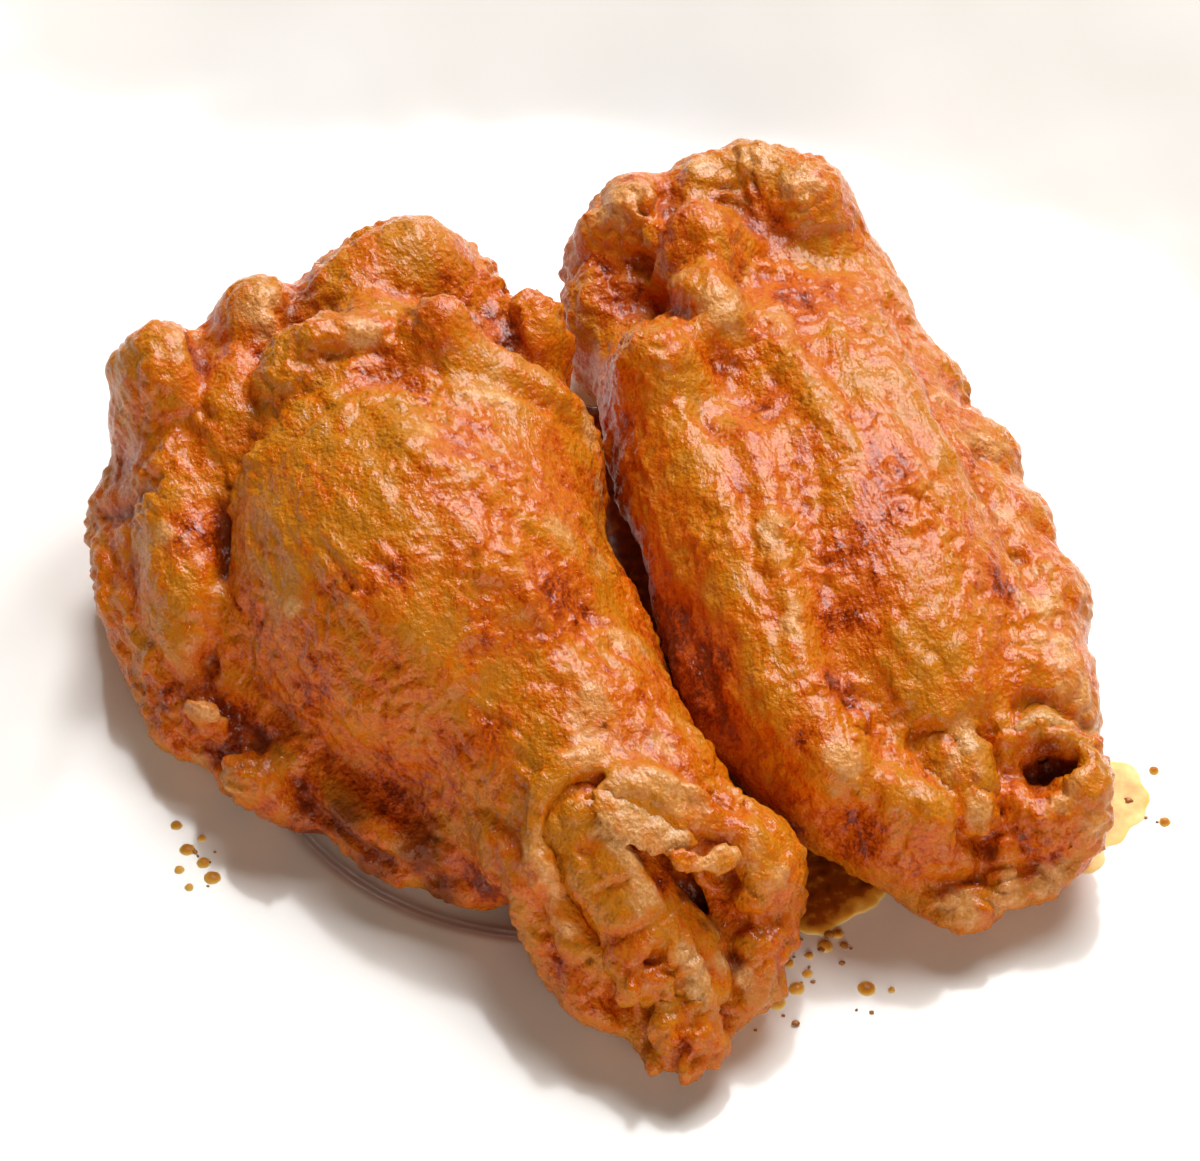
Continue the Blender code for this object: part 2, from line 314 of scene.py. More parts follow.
# %% Strokes on the drumette
DRUMETTE_STROKES = (
    ("top edge of the left lobe", 2.6, 0.6, [(82, 16, 21), (81.5, 12.5, 23), (80.5, 9.5, 23)]),
    ("tip of the left lobe", 1.3, 0.8, [(83.5, 16.5, 19)]),
    ("groove, left and middle lobe", 1.3, -1.5, [(82, 7.5, 21.5), (78, 9.2, 22.5), (74, 10.5, 22)]),
    ("middle lobe", 3.2, 0.6, [(80.5, 3, 24), (76, 5, 23.5)]),
    ("groove, middle and right lobe", 1.2, -1.4, [(83, -3, 22), (77, 0, 24.5), (71.5, 2, 27)]),
    ("bulge of the right lobe", 5.5, 0.9, [(79.5, -7.5, 24.5), (77, -12, 25)]),
    ("near edge of the right lobe", 2.6, 0.5, [(77, -3, 25), (73.5, -6, 27), (71, -10, 28)]),
    ("groove under the right lobe", 0.9, -1.5,
     [(74.5, -1, 25.5), (70.5, -3.5, 27.5), (67.5, -6.5, 28), (65.5, -7.5, 28.5)]),
    ("red bead", 2.2, 1.4, [(66, -9.8, 28.5)]),
    ("groove right of the bead", 0.9, -0.9, [(68, -11.5, 28.5), (65, -13, 26.5), (61, -12.5, 26.5)]),
    ("shoulder band", 2.6, 0.6, [(74, 2, 25), (70, 0, 27), (67, -3.5, 27.5), (63.5, -7.5, 27)]),
    ("groove below the band", 0.9, -1.2,
     [(69.3, 4, 26), (68, 2.5, 26.5), (66.5, 0, 27), (65.5, -3.5, 26.5)]),
    ("nub on the right", 2.8, 1.3, [(68.5, -20, 21.5), (65.5, -19, 22)]),
    ("groove before the nub", 1.1, -1.7,
     [(71, -17, 23), (67.5, -16.5, 23.5), (64, -15.5, 24), (61, -17, 22)]),
    ("upper edge of the dome", 2.0, 0.6,
     [(62.5, 13, 21), (63.5, 9.5, 23.5), (64.5, 5.5, 25), (65, 0, 26.5), (65, -4, 26.5)]),
    ("streak of the dome 1", 1.2, 0.5, [(68, 4, 25.5), (68, 7, 23.5), (66, 11, 21)]),
    ("streak of the dome 2", 0.9, -0.5, [(62, 4, 26), (60.5, 8.5, 25.5), (59.5, 12.5, 23)]),
    ("streak of the dome 3", 1.0, 0.4, [(61, 0, 27), (60, 5, 26.5), (59, 10, 25)]),
    ("middle lobe, near fold", 2.2, 0.6,
     [(78, 5.5, 22.5), (73.5, 7.5, 23), (70, 11, 20), (66, 14.5, 17.5)]),
    ("pale ridge", 1.6, 0.7, [(59.5, -1.5, 27), (53.5, 0, 28.5), (49.5, -1, 28.5), (46.5, -3, 28)]),
    ("right rim, upper", 2.4, 0.7, [(63.5, -9, 27), (61, -13, 25.5), (57, -17, 22.5), (56, -20, 16.5)]),
    ("groove between the rims", 1.0, -0.9, [(59, -10, 26.5), (55.5, -14.5, 24.5), (53, -17.5, 20)]),
    ("deep side groove", 1.5, -3.0,
     [(61.5, 15, 18), (59, 16.5, 16), (56, 18.5, 13.5), (53.5, 20.5, 11.5), (50.5, 22.5, 9.5)]),
    ("inner side fold", 3.8, 0.7, [(66.5, 18.5, 17.5), (62, 19.5, 17), (57.5, 21, 15.5), (54, 22.5, 12)]),
    ("groove between the side folds", 1.0, -0.7,
     [(67, 22, 13.5), (62.5, 24, 12), (57, 25, 11), (52, 24, 9)]),
    ("outer side fold", 2.2, 0.5, [(70, 24, 10), (65, 25.5, 9.5), (60, 26, 10), (55, 25, 8)]),
    ("outer side groove 1", 0.8, -0.7, [(72, 22, 12), (66, 24.5, 10.5), (60, 25.5, 9), (54, 25.5, 7)]),
    ("outer side groove 2", 0.7, -0.6, [(74, 21.5, 9), (68, 25, 7.5), (61, 26.5, 6)]),
    ("groove over the outer fold", 0.9, -1.0, [(74, 23, 10), (70, 20.5, 14), (67.5, 18, 18.5)]),
    ("groove in the outer fold", 0.9, -1.0, [(66.5, 26, 7.5), (60.5, 27, 7.5), (53.5, 26.5, 7)]),
    ("groove under the curled flap", 1.1, -1.5, [(49, 26, 5), (45.5, 24, 6.5), (42.5, 21.5, 7.5)]),
    ("tag, left", 1.4, 1.3, [(42, 23, 6.5)]),
    ("tag, right", 1.2, 1.1, [(39.5, 21.5, 7)]),
    ("belly groove", 1.4, -1.7, [(50, 22.5, 10), (45, 21, 8.5), (39.5, 19, 8), (34.5, 18, 6.5)]),
    ("fold of the underside", 2.0, 0.7, [(43, 20.5, 8.5), (37, 17.5, 7), (29.5, 15, 7.5), (25, 11.5, 7)]),
    ("groove of the underside", 1.1, -1.2, [(37, 19.5, 6.5), (30, 17, 6), (24.5, 13, 5.5), (18.5, 9, 9)]),
    ("edge of the shank", 2.2, 0.6, [(29.5, 10, 9.5), (22, 9, 10), (15.5, 8.5, 11.5)]),
    ("groove above the left knuckle", 1.1, -1.2, [(25, 8.5, 13.5), (19.5, 7.5, 14.5), (15, 8, 14.5)]),
    ("notch under the arch", 2.2, -1.7, [(15, 3.2, 17), (15.3, 1.2, 18)]),
    ("skin arch", 1.6, 0.4,
     [(18, 5, 17.5), (19.5, 2.5, 19), (19, -0.5, 19.5), (17, -3, 19.5), (14, -6, 18.5)]),
    ("pit by the arch", 0.8, -1.3, [(16, 4.8, 17), (14.5, 5.2, 15)]),
    ("ribbon over the bone 1", 0.9, 0.5,
     [(17, -1.5, 19), (14, -4, 18.5), (11.5, -6.5, 17.5), (10, -9, 16)]),
    ("ribbon over the bone 2", 0.7, 0.5, [(16, -3.5, 19), (13.5, -6, 18), (11, -8.5, 16.5)]),
    ("groove of the ribbons", 0.5, -0.6, [(16.5, -2.5, 19), (13.5, -5, 18), (11, -7.5, 17)]),
    ("left roll", 1.9, 0.9, [(16, 7, 16.5), (14, 6.6, 15), (11.5, 6.3, 12.5), (9, 6.2, 10.5), (6, 6, 9)]),
    ("groove beside the left roll", 0.9, -1.3,
     [(15, 8.6, 13.5), (13, 8.7, 10.5), (10.5, 8.5, 8), (8, 8.5, 6.5)]),
    ("left outer roll", 1.7, 0.6, [(14, 10, 11), (11.5, 9.5, 8), (7.5, 9, 5.5)]),
    ("end of the left roll", 1.9, 1.0, [(6, 7.6, 6), (4.6, 6.4, 6)]),
    ("notch left of the tip", 1.0, -1.9, [(4, 5.2, 9), (3, 5, 7.5), (1.8, 5, 5)]),
    ("tip 1", 1.3, 1.0, [(1, 3.5, 6.5)]),
    ("tip 2", 1.2, 1.0, [(-1, 2.5, 6.5)]),
    ("tip 3", 1.2, 0.9, [(-0.5, 4, 4)]),
    ("tip 4", 1.1, 0.9, [(-2.5, 0.5, 5.5)]),
    ("tip 5", 1.0, 0.9, [(-2.8, 1.8, 3.5)]),
    ("tip 6", 1.0, 0.9, [(-2, -1, 3.5)]),
    ("groove of the tip 1", 0.6, -1.0, [(0.5, 1.5, 7), (-1.5, 1.5, 6), (-3, 1.2, 4)]),
    ("groove of the tip 2", 0.6, -0.9, [(1, 4.5, 5.5), (-1, 3.2, 5), (-2.5, 2.8, 3)]),
    ("notch right of the tip", 1.1, -1.6, [(1.5, -4, 7.5), (0.2, -4, 6.5), (-0.8, -3.5, 4.5)]),
    ("slot beside the bone", 1.5, -3.0, [(8.5, -5, 14), (6.5, -5.2, 12), (4.5, -5.4, 10)]),
    ("olive recess", 1.0, -1.4, [(4.5, -5, 8), (2.5, -4.8, 8), (1, -4.8, 7)]),
    ("right knuckle, bulge", 3.2, 0.9, [(7.5, -9, 14), (5, -9.8, 12)]),
    ("right knuckle, top", 2.4, 0.7, [(9, -11, 15.5), (5.5, -12, 13)]),
    ("right knuckle, low", 2.0, 0.9, [(2.8, -9.5, 7.5), (1.2, -7, 6)]),
    ("groove of the knuckle 1", 0.8, -1.1, [(5, -6.5, 9.5), (4, -8.5, 9.8), (3.2, -11.3, 9.5)]),
    ("groove of the knuckle 2", 0.7, -0.8, [(8.5, -8.5, 15.5), (6.5, -8, 12.5), (5.5, -7.5, 10.5)]),
    ("groove of the knuckle 3", 0.7, -0.7, [(6, -11, 13.5), (4.5, -10.5, 11.5), (4, -12.5, 10)]),
    ("groove of the right wrist", 1.0, -0.9, [(14, -9, 17), (11, -10.5, 16), (8.5, -12, 15)]),
    ("long wrinkle 1", 1.5, 0.5, [(46.5, 11, 25), (35.5, 8, 23.5), (29, 6.5, 18.5)]),
    ("long wrinkle 2", 1.4, 0.5, [(41, 0, 27.5), (34.5, -2.5, 24), (25.5, -3.5, 21)]),
    ("long wrinkle 3", 1.2, -0.6, [(51.5, 17, 17.5), (42, 16.5, 15), (34, 13, 11.5)]),
    ("long wrinkle 4", 1.2, -0.6, [(41.5, -5, 26.5), (35.5, -7.5, 22), (29, -8.5, 20)]),
)
DRUMETTE_ROLLS = (
    ("flesh under the shoulder", 3.6, [(74, 8, 18.8), (70, 9, 18.2), (67, 10, 17)]),
    ("inner side of the right knuckle", 2.6, [(9.5, -7.6, 12.5), (6.5, -7.8, 10.5), (4, -7.8, 8.5)]),
)
DRUMETTE_LEAVES = (
    ("leaf over the slot", (7.8, -5.4, 16.3), (3.2, 1.4, 0.5), (-0.2, -1, -0.2), (-0.5, 0, 1)),
    ("curled flap", (48, 23.5, 9), (2.4, 2.4, 0.9), (0.2, 0.5, 1), (-0.3, 1, 0.4)),
)

# %% [markdown]
# ## The flat
#
# The flat has two bones side by side under the skin. The thick one makes the ridge on the
# left, the thin one the scalloped edge on the right, and the skin between them sags a
# little. Small round lumps crowd the far end, and at the near end both bones show.

# %% Strokes on the flat
FLAT_ROLLS = (
    ("floor of the hollow", 2.7, [(6, -8, 7.6), (5.2, -10.5, 7.6)]),
)
FLAT_STROKES = (
    ("far lump, left", 2.6, 0.7, [(76.5, 11, 19.5)]),
    ("far lump, middle", 2.6, 0.7, [(78, 4.5, 19)]),
    ("groove between the far lumps", 1.1, -1.7, [(80.5, 6.5, 18), (74, 8, 20), (70, 9.5, 20.5)]),
    ("groove under the crown", 1.6, -0.6,
     [(76, 4, 19), (74, 1.5, 18.5), (71, -0.5, 18.5), (69.5, -3, 18), (68, -6.5, 17)]),
    ("crown, left", 2.2, 0.7, [(78.5, -1.5, 20)]),
    ("crown, right", 3.0, 0.7, [(73, -6, 20.5)]),
    ("side lump", 2.0, 0.8, [(76.5, 15.5, 15.5)]),
    ("round lump", 2.8, 0.7, [(70, 6.5, 22)]),
    ("pit", 1.1, -1.8, [(71, 12.5, 16.5), (69.5, 12, 17)]),
    ("low lump 1", 2.4, 0.8, [(71.5, 17, 13.5)]),
    ("low lump 2", 2.2, 0.8, [(68.5, 18.5, 11)]),
    ("middle lump", 2.4, 0.7, [(63, 10.5, 20.5)]),
    ("groove below the middle lump", 1.1, -1.6, [(66, 13, 17), (59.5, 11, 21), (58, 9.5, 22)]),
    ("knob of the left ridge", 3.0, 0.8, [(54, 15.5, 22.5)]),
    ("left ridge", 2.8, 0.6,
     [(49, 15.5, 20.5), (41.5, 14.5, 19.5), (34, 14.5, 19), (26.5, 15, 18), (20, 15, 17.5)]),
    ("left ridge, low", 2.6, 0.6, [(16.5, 15, 17), (11, 13, 16.5), (6.5, 10, 15.5)]),
    ("shining knob", 2.6, 0.9, [(6.5, 9, 15.5)]),
    ("valley", 1.6, -0.9,
     [(48.5, 11.5, 19.5), (43.5, 11, 20.5), (36.5, 10.5, 21), (27.5, 11.5, 20), (19, 12, 19)]),
    ("pale ridge", 1.8, 0.5, [(65.5, 2.5, 18), (54, 2.5, 19.5), (49.5, 1.5, 20), (39.5, 0, 21)]),
    ("upper ridge", 1.8, 0.5, [(67.5, 5.5, 21), (59, 5.5, 21.5), (51, 6, 18.5)]),
    ("groove of the panel", 1.4, -0.5, [(60, -1, 18.5), (46, -1, 20.5), (35, -1.5, 20.5)]),
    ("ridge of the panel", 1.8, 0.5, [(62.5, -7.5, 16), (47, -7.5, 19), (38, -9, 18.5)]),
    ("groove along the edge", 1.2, -0.8,
     [(55, -10, 16), (41.5, -10.5, 17.5), (31.5, -12.5, 15), (22, -13, 14.5)]),
    ("crest, low", 1.8, 0.5, [(32, 9.5, 20.5), (23, 10, 19.5), (15, 10, 17.5), (9, 8.5, 16)]),
    ("bulge of the left wall", 5.0, 1.4, [(66, 19, 8), (56, 19.5, 8), (46, 20, 8)]),
    ("groove of the left wall", 1.0, -0.8, [(34, 19, 15), (24.5, 18.5, 14.5), (16, 17.5, 13.5)]),
    ("fold of the left wall", 1.8, 0.6, [(34, 19.5, 10), (24, 19.5, 10.5), (14.5, 18, 9.5), (7.5, 14, 10)]),
    ("left lobe of the near end", 2.4, 0.8, [(6, 7.5, 13), (3.5, 6.3, 13.5), (1.5, 4, 12.5), (0.6, 1, 10)]),
    ("groove of the near end", 1.1, -1.5, [(5.5, 3.2, 14), (3, 1, 12.5), (1.2, -1, 10), (0.3, -2.5, 7)]),
    ("low roll of the near end", 1.6, 0.6,
     [(0.5, 5.5, 3), (-2, 2, 3.5), (-3, -1, 4), (-2.5, -5, 4.5), (-1.5, -8, 5)]),
    ("groove above the low roll", 0.9, -1.3, [(0, 3.5, 6), (-1.5, 0.5, 6), (-1, -4, 7), (0, -7, 7)]),
    ("crease of the end face 1", 0.9, -1.3,
     [(1.2, -3, 8.5), (0.5, -5.5, 8.5), (0, -8, 9.5), (0.5, -10.5, 10)]),
    ("crease of the end face 2", 0.8, -1.1, [(0, -6, 5.5), (-0.3, -8.5, 6), (0, -11, 7)]),
    ("lump of the end face 1", 1.7, 1.1, [(0.3, -4, 7.5)]),
    ("lump of the end face 2", 1.6, 1.1, [(0, -7.5, 7.5)]),
    ("lump of the end face 3", 1.5, 1.0, [(0.5, -10.5, 8.5)]),
    ("pit of the end face 1", 0.7, -1.2, [(0.6, -9.5, 8.5), (0.4, -10.6, 8.2)]),
    ("pit of the end face 2", 0.7, -1.2, [(-0.5, -5.8, 5.5), (-0.8, -7.2, 5)]),
    ("fold of the end face", 1.1, 0.9, [(-1, -5, 4), (-0.5, -8, 4.8), (0.3, -11, 6.5)]),
    ("lump of the end face 4", 1.4, 1.0, [(-2.5, 0.8, 3.5), (-3.2, 0, 3.5)]),
    ("right lobe", 1.8, 0.7, [(11.5, -15.5, 7.5), (2.5, -13, 10.5), (0.5, -12, 5)]),
    ("groove of the right lobe", 0.9, -1.2, [(1, -10.5, 11.5), (-1, -8.5, 7.5), (-2, -7, 5)]),
    ("lip below the hollow", 1.6, 0.5,
     [(3.5, -5, 11.5), (1.5, -8, 11.5), (2.5, -11, 12.5), (5.5, -12.5, 12)]),
    ("red knob of the near end", 2.4, 1.3, [(4, 5.5, 13.5), (2, 3, 13)]),
    ("near tag 1", 1.3, 0.9, [(-2.5, 1.5, 4.5)]),
    ("near tag 2", 1.2, 0.9, [(-2, -3.5, 4.5)]),
    ("ring over the thin bone", 1.6, 0.5,
     [(10, -6.2, 13), (12.5, -7.5, 14), (12.5, -10.5, 14), (10, -13, 12.5)]),
    ("edge pit 1", 1.0, -1.0, [(40.5, -13, 14.5)]),
    ("edge pit 2", 1.0, -1.0, [(27.5, -13, 14.5)]),
    ("edge pit 3", 0.9, -0.9, [(19.5, -13.5, 14.5)]),
)

# %% [markdown]
# ## Wrinkles
#
# Between the big folds, cooked skin is covered in short soft wrinkles that follow its grain,
# roughly along the bone. A few hundred small strokes start at random spots, and each walks a
# few steps over the skin. The random numbers come from a fixed seed, so that the wrinkles
# come out the same each time.

# %% Random wrinkles


def wrinkle_skin(clay, count, length, radius, height, seed):
    """Short strokes along the grain of the skin; about half of them are grooves."""
    draw = np.random.default_rng(seed)
    cells = np.argwhere(np.abs(clay.cells) < 0.5 * CELL)
    spots = (cells[draw.integers(0, len(cells), count)] + clay.low) * CELL
    spots = clay.on_skin(spots)
    turn = draw.normal(0, 0.45, count)
    lines = [spots]
    steps = 6
    for _ in range(steps):
        turn = turn + draw.normal(0, 0.25, count)
        grain = np.stack([-np.cos(turn), np.sin(turn) * 0.8, np.sin(turn * 1.7) * 0.5], axis=1)
        out = clay.outward(spots)
        grain -= out * (grain * out).sum(axis=1, keepdims=True)
        grain /= np.maximum(np.linalg.norm(grain, axis=1, keepdims=True), 0.3)
        spots = clay.on_skin(spots + grain * (length / steps))
        lines.append(spots)
    lines = np.stack(lines, axis=1)
    fade = np.sin(np.linspace(0.15, math.pi - 0.15, steps + 1))
    for line in lines:
        if line[:, 2].min() < 1.0:
            continue
        size = radius * draw.uniform(0.6, 1.3)
        rise = height * draw.uniform(0.5, 1.4) * draw.choice((-1, 1))
        radii = size * (0.5 + 0.5 * fade)
        sink = rise * fade - radii if rise > 0 else rise * fade + radii
        roll(clay, line + clay.outward(line) * sink[:, None], radii, 0.5, carve=rise < 0)


# %% [markdown]
# ## From clay to mesh
#
# OpenVDB's surfacing gives an even net of small quads. Finer bumps than the tool can draw
# are then pushed out along the normals: pebbles, which are the bases of the feathers, and
# crags where frying has blistered the skin. Blender draws the offsets of its noise vectors
# anew at each start, so they get a fixed seed too. Each point also keeps its place in the
# piece's own millimetres, so that the patterns of the finish stay with the piece.

# %% Meshing and fine relief
NOISE_SEED = 1
noise.seed_set(NOISE_SEED)


def store(mesh, name, values):
    """Stores one number for each point of a mesh."""
    mesh.attributes.new(name, "FLOAT", "POINT").data.foreach_set("value", np.asarray(values, np.float32))


def skin_mesh(clay, name, place, bumps):
    """A mesh of the clay's skin in world metres, with bumps pushed out; and its points in mm."""
    grid = openvdb.FloatGrid(BAND * CELL)
    grid.copyFromArray(clay.cells, ijk=tuple(int(i) for i in clay.low))
    grid.transform = openvdb.createLinearTransform(CELL)
    points, quads = grid.convertToQuads()
    points = points.astype(float)
    out = clay.outward(points)
    points += out * bumps(points)[:, None]
    points[:, 2] = np.maximum(points[:, 2], REST_GAP)
    over = np.maximum(points[:, 2] - (CEILING - 1), 0)
    points[:, 2] += np.tanh(over) - over
    world = points @ np.array(place.to_3x3()).T + np.array(place.translation)
    mesh = bpy.data.meshes.new(name)
    mesh.from_pydata(world.tolist(), [], quads.tolist())
    mesh.shade_smooth()
    mesh.attributes.new("own_mm", "FLOAT_VECTOR", "POINT").data.foreach_set("vector", points.ravel())
    print(f"{name}: {len(mesh.polygons)} faces")
    return mesh, points


def place_piece(name, mesh, node):
    """Puts a piece in the scene in place of a plain solid."""
    piece = bpy.data.objects.new(name, mesh)
    bpy.context.scene.collection.objects.link(piece)
    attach(piece, "root")
    if node:
        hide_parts(node)
    return piece


def dabs(points, places):
    """How strongly round dabs cover each point: 1 in a dab's middle and 0 past its radius."""
    cover = np.zeros(len(points))
    for radius, centre in places:
        distance = np.linalg.norm(points - np.array(centre), axis=1)
        cover = np.maximum(cover, np.clip(1.25 * (1 - distance / radius), 0, 1))
    return cover


def skin_bumps(seed, strength, taut, ragged):
    """Crags and pebbles of cooked skin, in mm: smoother at taut places, lumpier at ragged ones."""
    shift = Vector((seed * 31.7, seed * 17.3, seed * 7.9))

    def bumps(points):
        heights = np.empty(len(points))
        calm = dabs(points, taut).tolist()
        torn = dabs(points, ragged).tolist()
        for i, point in enumerate(points.tolist()):
            p = Vector(point) + shift
            warp = noise.noise_vector(p / 4.0) * 1.2
            knobs = abs(noise.noise((p + warp) / 2.4)) - 0.2
            grains = abs(noise.noise((p + warp * 0.5) / 1.25)) - 0.2
            pebbles = noise.noise(p / 0.75)
            swell = noise.noise(p / 6.0)
            rough = 0.35 + 1.5 * abs(noise.noise(p / 10.0))
            crags = (1 - 0.5 * calm[i]) * 0.8 * knobs + (1 - 0.85 * calm[i]) * (0.75 * grains + 0.2 * pebbles)
            heights[i] = strength * (rough * crags + 0.22 * swell)
            if torn[i] > 0:
                heights[i] += torn[i] * 2.0 * (abs(noise.noise((p + warp) / 1.9 + shift)) - 0.22)
        return heights

    return bumps


# %% [markdown]
# ## Where the sauce lies
#
# Hot sauce is not one colour. It runs off the bulges, where golden skin shows through, and
# gathers red in the hollows. Here and there skin or fat is nearly bare. Light and shade are
# painted in as well: some pale dabs are painted sheen or light, and the hollows, the underside
# and the gap between the wings get painted shade. Each place below is one dab of the brush: a
# radius and the dab's middle, in the piece's own millimetres. A dab's edge is broken up with
# noise, so that no round spot shows. Three numbers for each point come out: how thick the
# sauce is, how bare the skin, which also carries painted sheen, and how dark the hollow, which
# is deep sauce and painted shade.

# %% Painting


def blotches(points, size, seed, stretch=1.0):
    """Soft noise from about -1 to 1, whose spots are about size mm wide and longer along the bone."""
    shift = Vector((seed * 13.1, seed * 5.7, seed * 3.3))
    scale = Vector((1 / (size * stretch), 1 / size, 1 / size))
    return np.array([noise.fractal(Vector(p) * scale + shift, 0.8, 2.0, 3) for p in points.tolist()]) * 1.4


def relief(clay, points, width):
    """How far the skin stands out (above 0) or lies back (below 0) within about width mm."""
    step = max(1, round(width / CELL / 2))
    coarse = soften(clay.cells[::step, ::step, ::step], width, CELL * step)
    return clay.at(points, coarse, step) - clay.at(points)


def closeness(points, place, other_clay, other_place):
    """How close points of one wing are to the other wing: 1 where they touch, 0 from 4.5 mm on."""
    shift = other_place.inverted() @ place
    moved = points @ np.array(shift.to_3x3()).T + np.array(shift.translation)
    size = np.array(other_clay.cells.shape)
    inside = ((moved / CELL > other_clay.low + 1) & (moved / CELL < other_clay.low + size - 2)).all(axis=1)
    near = np.zeros(len(points))
    near[inside] = np.clip(1 - other_clay.at(moved[inside]) / 4.5, 0, 1)
    return near


def paint(mesh, clay, points, thin, thick, bare, dark, near, seed):
    """Stores the sauce's thickness, the skin's bareness with its painted sheen, and the hollows' darkness,
    which is deep sauce and painted shade, on each point.
    """
    fine = relief(clay, points, 0.9)
    broad = relief(clay, points, 2.4)
    sauce = 0.5 + 0.15 * blotches(points, 6.0, seed) + 0.13 * blotches(points, 1.8, seed + 1, 2.0)
    sauce += 0.3 * dabs(points, thick) - 0.3 * dabs(points, thin) + 0.4 * near
    sauce -= 0.1 * np.clip(fine / 0.25, -1, 1) + 0.1 * np.clip(broad / 0.9, -1, 1)
    open_skin = dabs(points, bare) + 0.5 * blotches(points, 2.0, seed + 2, 1.4) - 0.3
    open_skin += 0.3 * np.clip(broad / 0.9, 0, 1) + 0.2 * np.clip(fine / 0.25, -1, 1) - near
    # Bare skin is kept to the upward faces: sauce runs off the tops, and this is also painted light, paler
    # tops over darker sides.
    open_skin += 0.45 * np.minimum(clay.outward(points)[:, 2] - 0.65, 0)
    # Painted shade: the hollow number darkens creases, hollows and the side by the other wing, and the shade
    # dabs add to it; in part it stands for deeper sauce.
    hollow = np.clip(-fine / 0.35, 0, 1) * 0.45 + np.clip(-broad / 1.6, 0, 1) * 0.7 + 0.7 * near
    hollow += 0.9 * dabs(points, dark)
    store(mesh, "sauce", np.clip(sauce, 0, 1))
    store(mesh, "bare", np.clip(open_skin, 0, 1))
    store(mesh, "hollow", np.clip(hollow, 0, 1))


# %% [markdown]
# The dabs come in five kinds: thin sauce, thick sauce, bare skin, dark hollows, and ragged
# places, where the skin is torn and so lumpier. Some bare dabs are painted sheen, or painted
# light on sides in shade, and the dark dabs are painted shade, with a few small dark specks of
# crust among them. The first four are paint, and the last one goes to the bumps.

# %% Dabs on the drumette
DRUMETTE_THIN = (
    (8, (59, 7, 26.5)), (7, (56, 2.5, 28)), (8, (56, 12, 24)), (7, (49, 8, 27)), (5, (48, 14.5, 22.5)),
    (5, (60, -10.5, 26.5)), (5, (55.5, -13, 25)), (5, (76.5, -12.5, 26)), (5, (55, 23.5, 12)),
    (4, (63, 21.5, 15.5)), (4, (35, 7, 23.5)), (3.5, (30.5, 3.5, 21)), (3.5, (22.5, 3, 19.5)),
    (3, (19, 3, 18.5)), (4, (15.5, -3, 18)), (6, (47, -17, 15)), (5, (51, -17.5, 19)),
    (4, (36, -11, 18)), (4, (8, -10, 14)),
)
DRUMETTE_THICK = (
    (3, (66, -9, 29)), (4, (27.5, 7, 17.5)), (6, (32, 14, 8.5)), (5, (35, -5.5, 23)),
    (6, (50.5, -18, 17)), (5, (65, -19, 23)), (5, (45, 22, 7)), (5, (42, 9.5, 25.5)), (6, (40, 17, 17)),
    (6, (53, 24, 8)), (4, (62, 22, 12)), (4, (9, 8, 7.5)), (4, (5.5, 6.5, 6.5)), (3, (9.5, -9.5, 15.5)),
    (3, (7, -12.5, 14)), (5, (42.5, -16, 13)), (4, (33, -13.5, 14.5)), (5, (60.5, 17.5, 17)),
    (4, (53, 21.5, 13)), (4, (10, -6, 8)), (7, (36, 20, 4)), (6, (21, 10, 6)), (4, (54, 25, 9)),
    (3, (2, -9, 7)), (4, (-1, 1, 5)),
)
# Bare skin and fat, and painted light: some of these pale dabs are painted sheen, and some lighten sides that
# lie in shade.
DRUMETTE_BARE_AND_SHEEN = (
    (4, (21, -1, 20)), (3, (15.5, -4, 19)), (4, (24, -3, 20.5)), (3, (19.5, -7, 18.5)),
    (2.5, (53.5, -2.5, 28.5)), (3, (40, -8.5, 24)), (4, (39.5, -12, 19.5)), (4, (30.5, -9, 19.5)),
    (2.2, (15.5, 7, 16.5)), (2, (12.5, 6.5, 14)), (2, (9.5, 6.3, 11.5)), (3, (68, -2.5, 27)),
    (3, (78, 2, 24)), (3, (49, 23, 9)), (2.5, (46.5, 15, 21)), (3, (42, 24, 5.5)), (3, (47.5, 24.5, 3)),
    (2.5, (9.2, -4.6, 16.5)), (2.5, (14, -5, 18.5)), (2.5, (16, -1, 19)), (2, (1.5, -5, 7.5)),
    (4.5, (77.5, 4, 24)), (4, (57, -10.5, 26)), (3.5, (13.5, -6, 19)), (4.5, (20.5, -3, 20)),
    (3, (7.5, -8.5, 15.5)), (2.2, (5.5, -10.5, 13.5)), (3, (46.5, 23.5, 10.5)), (2.2, (7.6, -5.2, 16.6)),
    (2, (62.5, 20, 17.5)), (5, (49, -17, 16)), (4, (54.5, -18.5, 19.5)), (2, (16, 7, 16)),
    (2, (14, 7, 15)), (2, (12.5, 6.5, 13)), (3, (7, -8.5, 15)),
)
# Painted shade in the creases, notches and slots of the joint and along the underside; the two smallest dabs
# are dark specks of crust.
DRUMETTE_SHADE_AND_SPECKS = (
    (1.3, (15.8, 4.9, 16.6)), (1.2, (13.5, 5, 14.6)), (1.2, (11, 5, 12.8)), (1.2, (8.5, 5, 11)),
    (2, (8.5, -4.6, 13)), (2, (6.5, -5.2, 11)), (1.6, (2.2, 5.5, 6.5)), (1.8, (0, -4, 6.5)),
    (2.2, (2.5, -5, 8)), (5, (30, 15.5, 3.5)), (5, (37, 19, 2.5)), (4, (24, 12, 3.5)), (4, (44, 22, 3)),
    (0.7, (22, -3, 20.2)), (4.5, (26, 13, 7.5)), (4.5, (33, 17, 7)), (0.7, (7.5, 6, 9)),
    (4, (-0.5, 1, 2.5)),
)
DRUMETTE_RAGGED = (
    (6, (-1, 2, 4)), (5, (4, 4, 8)), (5, (2.5, -9, 6)), (4, (4, 0, 10)), (4, (7, -10, 12)),
    (6, (68, -20, 21)), (5, (42, 23, 6)), (6, (60, 25, 8)),
)

